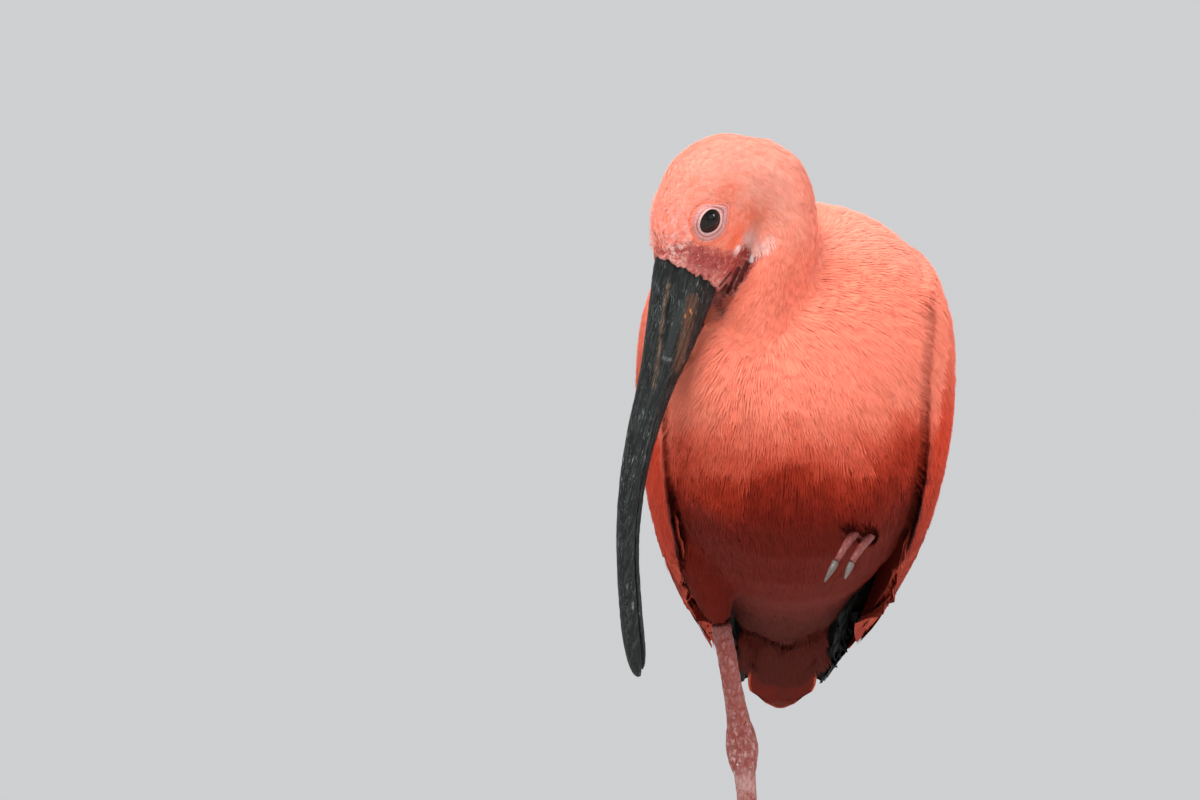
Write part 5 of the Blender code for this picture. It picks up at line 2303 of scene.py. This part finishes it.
    @staticmethod
    def close_to(places: Array, wanted: Array, other: Surface, reach: float) -> Array:
        """Gives 1 by another surface, falling to 0 at a reach, for the wanted places only.

        Args:
            places: Where to ask.
            wanted: Which places count.
            other: The other surface.
            reach: Distance at which the share is 0.

        Returns:
            One share for each place.
        """
        share = np.zeros(len(places))
        share[wanted] = soft_step(reach, reach * 0.7, other.distance(places[wanted]))
        return share

    def uncovered(self, places: Array, normals: Array) -> Array:
        """Gives 1 where no wing lies over the skin.

        Args:
            places: Points on the skin.
            normals: The skin's normals there.

        Returns:
            One share for each place.
        """
        covered = np.zeros(len(places), dtype=bool)
        for wing in self.wings.shells.values():
            covered |= np.isfinite(wing.hit(places + normals * 0.1 * MM, normals, self.reach_under_wing))
        return 1.0 - covered


@dataclass
class Wings:
    """Folded wings: a thin base, rows of coverts and long blades, with black tips below."""

    set_in: float = 0.8 * MM
    shells: dict = field(default_factory=dict)
    outsides: dict = field(default_factory=dict)
    down_count: int = 2600
    down_end: float = 8 * MM
    middle_count: int = 330
    great_count: int = 90
    blade_count: int = 26

    def prepare(self) -> None:
        """Makes the bases and the surfaces that feathers lie on."""
        for side, _ in SIDES:
            mesh = base_of("wing_" + side, self.set_in, drawn(0.0, 0.0, 200.0))
            points, triangles = arrays_of(mesh)
            self.shells[side] = Surface(points, triangles)
            self.outsides[side] = outside_of(points, triangles)
            material = PlumageFinish().base("wing_base_" + side)
            Piece("wing_base_" + side, mesh, [material], "wing_plumage", ("wing_" + side,))

    def build(self) -> None:
        """Lays both wings' feathers."""
        finish = PlumageFinish()
        plain = finish.wing("wing_vanes")
        soft = finish.coat("wing_down", winged=True)
        for side, sign in SIDES:
            left = int(sign > 0)
            outside = self.outsides[side]
            along = outside.centres() @ Lie.WING
            place = share_of_range(along)
            # From root to tip: where each row's roots begin and end, their number and their feathers.
            rows = (
                ((0.40, 0.46, 0.60, 0.66), self.blade_count,
                 Plume([Cut.vane(seed, 14, 7, 0.28) for seed in range(4)], 74 * MM, 7.6 * MM, 1.6 * MM,
                       0.5 * MM, 12, 0.12, 0.05, 0.10)),
                ((0.42, 0.48, 0.54, 0.60), self.great_count,
                 Plume([Cut.vane(seed, 11, 7, 0.4) for seed in range(4, 8)], 36 * MM, 5.6 * MM, 1.5 * MM,
                       0.4 * MM, 9, 0.14, 0.06)),
                ((0.26, 0.32, 0.48, 0.54), self.middle_count,
                 Plume([Cut.vane(seed, 9, 5, 0.5, 0.08) for seed in range(8, 12)], 22 * MM, 4.4 * MM,
                       1.5 * MM, 0.3 * MM, 7, 0.16, 0.08)),
            )
            coat = Coat("vanes_of_wing_" + side, tuple(Lie.WING), plain, "wing_plumage")
            for number, ((begin, full, less, end), count, plume) in enumerate(rows):
                weight = soft_step(begin, full, place) * soft_step(end, less, place) + 1e-6
                rng = np.random.default_rng(Seed.VANE_ROOTS + number * 2 + left)
                roots, _ = outside.scatter(count, weight, rng)
                room = within_end(roots, Lie.WING, along.max(), plume.length)
                coat.add(plume.lay(outside, roots, Lie.wing, Seed.VANE_LIE + number * 2 + left, room))
            coat.finish()
            down = Coat("down_of_wing_" + side, tuple(Lie.WING), soft, "wing_plumage")
            weight = soft_step(0.50, 0.30, place) + 0.02
            roots, _ = outside.scatter(self.down_count, weight, np.random.default_rng(Seed.DOWN_ROOTS + left))
            tufts = Plume([Cut.tuft(seed, 8) for seed in range(30, 36)], 12 * MM, 2.0 * MM, 1.9 * MM)
            roots = roots[roots @ Lie.WING < along.max() - self.down_end]
            room = within_end(roots, Lie.WING, along.max(), tufts.length)
            down.add(tufts.lay(outside, roots, Lie.wing, Seed.DOWN_LIE + left, room))
            down.finish()


def within_end(roots: Array, axis: Array, end: float, length: float) -> Array:
    """Gives the scale that keeps each feather's tip on its surface.

    Args:
        roots: Where the feathers start.
        axis: Direction that they run in.
        end: The surface's end along it.
        length: A feather's full length.

    Returns:
        One scale for each root.
    """
    return np.clip((end - 1.5 * MM - roots @ axis) / (length * 1.12), 0.05, 1.0)


def base_of(node: str, set_in: float, middle: Array, rounds: int = 2) -> Mesh:
    """Makes the thin base under a wing's or the tail's feathers.

    Args:
        node: The solid that it stands for.
        set_in: How far its outside moves in.
        middle: A place inside the body.
        rounds: How often it is softened.

    Returns:
        Its mesh.
    """
    flesh = Flesh((node,))
    bmesh.ops.subdivide_edges(flesh.bm, edges=flesh.bm.edges, cuts=1, smooth=0.0, use_grid_fill=True)
    bmesh.ops.triangulate(flesh.bm, faces=flesh.bm.faces)
    mesh = mesh_of(flesh.bm, node + "_base")
    Flesh.soften(mesh, rounds, 0.6)
    points, triangles = arrays_of(mesh)
    normals = point_normals(points, triangles)
    outward = points - middle
    outward[:, 1] = 0.0
    facing = soft_step(0.0, 0.3, dot(normals, unit(outward * (1.0, 0.0, 1.0)))[:, 0])
    write_points(mesh, points - normals * (set_in * facing)[:, None])
    mesh.shade_smooth()
    return mesh


def outside_of(points: Array, triangles: Array) -> Surface:
    """Gives the part of a wing that faces away from the body.

    Args:
        points: The wing's points.
        triangles: Its triangles.

    Returns:
        A surface with the outer triangles only.
    """
    facing = unit(face_vectors(points, triangles))
    centre = points[triangles].mean(axis=1)
    middle = drawn(-3.0, 0.0, 0.0)[0]
    away = (centre[:, 0:1] - middle) * (1.0, 0.0, 0.0)
    outward = unit(unit(away) + np.array((0.0, 0.62, 0.76)) * 0.35)
    return Surface(points, triangles[dot(facing, outward)[:, 0] > 0.05])


@dataclass
class Flight:
    """The black tips of the wings and the tail's feathers."""

    set_in: float = 0.5 * MM
    black_rows: int = 9
    past_base: float = 15.0 * MM
    black_share: float = 0.5
    tail_rows: int = 16
    tail_share: float = 0.35
    tail_middle: float = 0.40
    tip_round: float = 4.6 * MM
    corner_round: float = 2.4 * MM
    tip_widen: float = 0.42
    outline_rows: int = 22
    outline_reach: float = 3.0 * MM
    tail: Surface = None

    def prepare(self) -> None:
        """Makes the tail's base, which the body's feathers lie over too."""
        self.tail, mesh = self.ground("tail", 0)
        points = self.tail.points
        reach, aside, _ = self.outline(points).T
        middle = points[reach > 0.8, 0].mean()
        widen = 1.0 + self.tip_widen * soft_step(0.50, 0.92, reach)
        points[:, 0] = middle + (points[:, 0] - middle) * widen
        edge = np.minimum(aside, 1.0) ** 2
        out = (self.tip_round * (1.0 - edge) - self.corner_round * edge) * soft_step(0.78, 1.0, reach)
        write_points(mesh, points + unit(np.array((0.0, 0.7, -0.71))) * out[:, None])
        self.tail = Surface(*arrays_of(mesh))
        write_vectors(mesh, "outline", self.outline(self.tail.points))
        Piece("tail_base", mesh, [PlumageFinish().tail("tail_base")], "wing_plumage", ("tail",))

    def outline(self, points: Array) -> Array:
        """Gives how far along the tail and how near its side edge points lie, both from 0 to 1.

        Args:
            points: Places on or near the tail.

        Returns:
            Both shares and a 0 for each point.
        """
        along, across = self.tail.points @ Lie.TAIL, self.tail.points[:, 0]
        reach = (points @ Lie.TAIL - along.min()) / (along.max() - along.min())
        places = np.linspace(along.min(), along.max(), self.outline_rows)
        rows = [across[np.abs(along - place) < self.outline_reach] for place in places]
        middle = np.interp(points @ Lie.TAIL, places, [(row.min() + row.max()) / 2 for row in rows])
        half = np.interp(points @ Lie.TAIL, places, [(row.max() - row.min()) / 2 for row in rows])
        return np.stack([reach, np.abs(points[:, 0] - middle) / half, reach * 0], axis=1)

    def build(self) -> None:
        """Makes the black bases and lays the black blades and the tail's."""
        finish = PlumageFinish()
        black = finish.black("black_vanes")
        blades = [Cut.vane(seed, 14, 7, 0.3, 0.02) for seed in range(40, 44)]
        for side, sign in SIDES:
            node = "primaries_" + side
            surface, mesh = self.ground(node, 2)
            Piece("black_base_" + side, mesh, [black], "black_plumage", (node,))
            coat = Coat("black_blades_" + side, tuple(Lie.WING), black, "black_plumage")
            plume = Plume(blades, 46 * MM, 4.2 * MM, 0.6 * MM, 0.2 * MM, 9, 0.1, 0.07)
            roots = self.roots(surface, self.black_rows, Lie.WING, self.black_share)
            end = (surface.points @ Lie.WING).max() + self.past_base
            room = within_end(roots, Lie.WING, end, plume.length)
            coat.add(plume.lay(surface, roots, Lie.wing, Seed.BLACK_LIE + sign, room))
            coat.finish()
        surface = self.tail
        coat = Coat("tail_blades", tuple(Lie.TAIL), finish.tail("tail_vanes"), "wing_plumage")
        plume = Plume([Cut.vane(seed, 14, 7, 0.22, 0.01) for seed in range(50, 54)], 36 * MM, 2.7 * MM,
                      0.4 * MM, 0.2 * MM, 9, 0.08, 0.02, 0.06)
        roots = self.roots(surface, self.tail_rows, Lie.TAIL, self.tail_share)
        roots = roots[self.outline(roots)[:, 1] < self.tail_middle]
        room = within_end(roots, Lie.TAIL, (surface.points @ Lie.TAIL).max(), plume.length)
        coat.add(plume.lay(surface, roots, Lie.tail, Seed.TAIL_LIE, room))
        blades = coat.finish().obj.data
        write_vectors(blades, "outline", self.outline(arrays_of(blades)[0]))

    def ground(self, node: str, rounds: int) -> tuple[Surface, Mesh]:
        """Gives a base and its surface.

        Args:
            node: The solid that it stands for.
            rounds: How often it is softened.

        Returns:
            The surface and the mesh.
        """
        mesh = base_of(node, self.set_in, drawn(0.0, 0.0, 160.0), rounds)
        return Surface(*arrays_of(mesh)), mesh

    @staticmethod
    def roots(surface: Surface, count: int, axis: Array, share: float) -> Array:
        """Gives roots in the first share of a surface along an axis, on both its faces.

        Args:
            surface: Where the blades start.
            count: How many rows of four.
            axis: Direction that they run in.
            share: How far along it they start at most.

        Returns:
            The roots.
        """
        weight = 1e-4 + (share_of_range(surface.centres() @ axis) < share)
        return surface.scatter(count * 4, weight, np.random.default_rng(Seed.BLADE_ROOTS + count))[0]


@dataclass
class Claws:
    """Six curved claws."""

    nodes: tuple = ("claw_right_inner", "claw_right_middle", "claw_right_outer", "claw_right_hind",
                    "claw_left_middle", "claw_left_inner")
    root_reach: float = 2.2 * MM
    swell: float = 0.1 * MM
    tucked_swell: float = 0.55 * MM

    def build(self) -> None:
        """Smooths a copy of each claw and dresses it."""
        for node in self.nodes:
            mesh = modified(mesh_of(Flesh((node,)).bm, "draft"), "SUBSURF", levels=2)
            self.meet_toe(mesh, node)
            mesh.shade_smooth()
            Piece(node + "_horn", mesh, [self.material(node)], "claws", (node,))

    def meet_toe(self, mesh: Mesh, node: str) -> None:
        """Thickens a claw's root and draws it into the end of its toe.

        Args:
            mesh: The claw's mesh, which is changed.
            node: The claw's solid.
        """
        toe = HeadFrame.middle_of(node.replace("claw", "toe"))
        points, triangles = arrays_of(mesh)
        back = unit(toe - points.mean(axis=0))
        root = soft_step(0.35, 1.0, share_of_range(points @ back))
        swell = self.tucked_swell if "left" in node else self.swell
        points += point_normals(points, triangles) * (swell * (0.3 + 0.7 * root))[:, None]
        points += back * (self.root_reach * soft_step(0.3, 1.0, root))[:, None]
        points[:, 2] = np.maximum(points[:, 2], 0.0)
        write_points(mesh, points)

    @staticmethod
    def material(node: str) -> Material:
        """Makes the worn horn of one claw, paler to its tip.

        Args:
            node: The claw's solid.

        Returns:
            The material.
        """
        sheet = NodeSheet("claw_horn_of_" + node)
        low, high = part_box(node)
        place = sheet.place()
        height = sheet.parts(place)[2]
        grain = sheet.noise(sheet.stretch(place, (900.0, 900.0, 260.0)), 1.0, 3.0)
        tip = grain * 0.6
        if node.startswith("claw_left"):
            tip = (1 - height.rise(low.z, high.z)) * grain.rise(0.3, 0.6)
        flakes = sheet.noise(place, 800.0, 3.0, 0.65).rise(0.42, 0.62)
        worn = (tip * 0.5 + 0.2) * flakes
        colour = sheet.paint(Tint.CLAW, (worn, Tint.CLAW_TIP), (grain.rise(0.5, 0.7) * 0.5, Tint.CLAW_GRAIN))
        sheet.shade(Base_Color=colour, Roughness=0.4 + grain * 0.2, Normal=sheet.bump(grain, 0.0001))
        return sheet.material


def main() -> None:
    """Builds the bird piece by piece."""
    logging.basicConfig(level=logging.INFO, format="%(message)s")
    Stage().build()
    skin = Skin()
    skin.build()
    Eyes().build()
    Bill().build()
    wings = Wings()
    wings.prepare()
    wings.build()
    flight = Flight()
    flight.prepare()
    Plumage(skin, wings, flight.tail).build()
    flight.build()
    Claws().build()


if __name__ == "__main__":
    main()
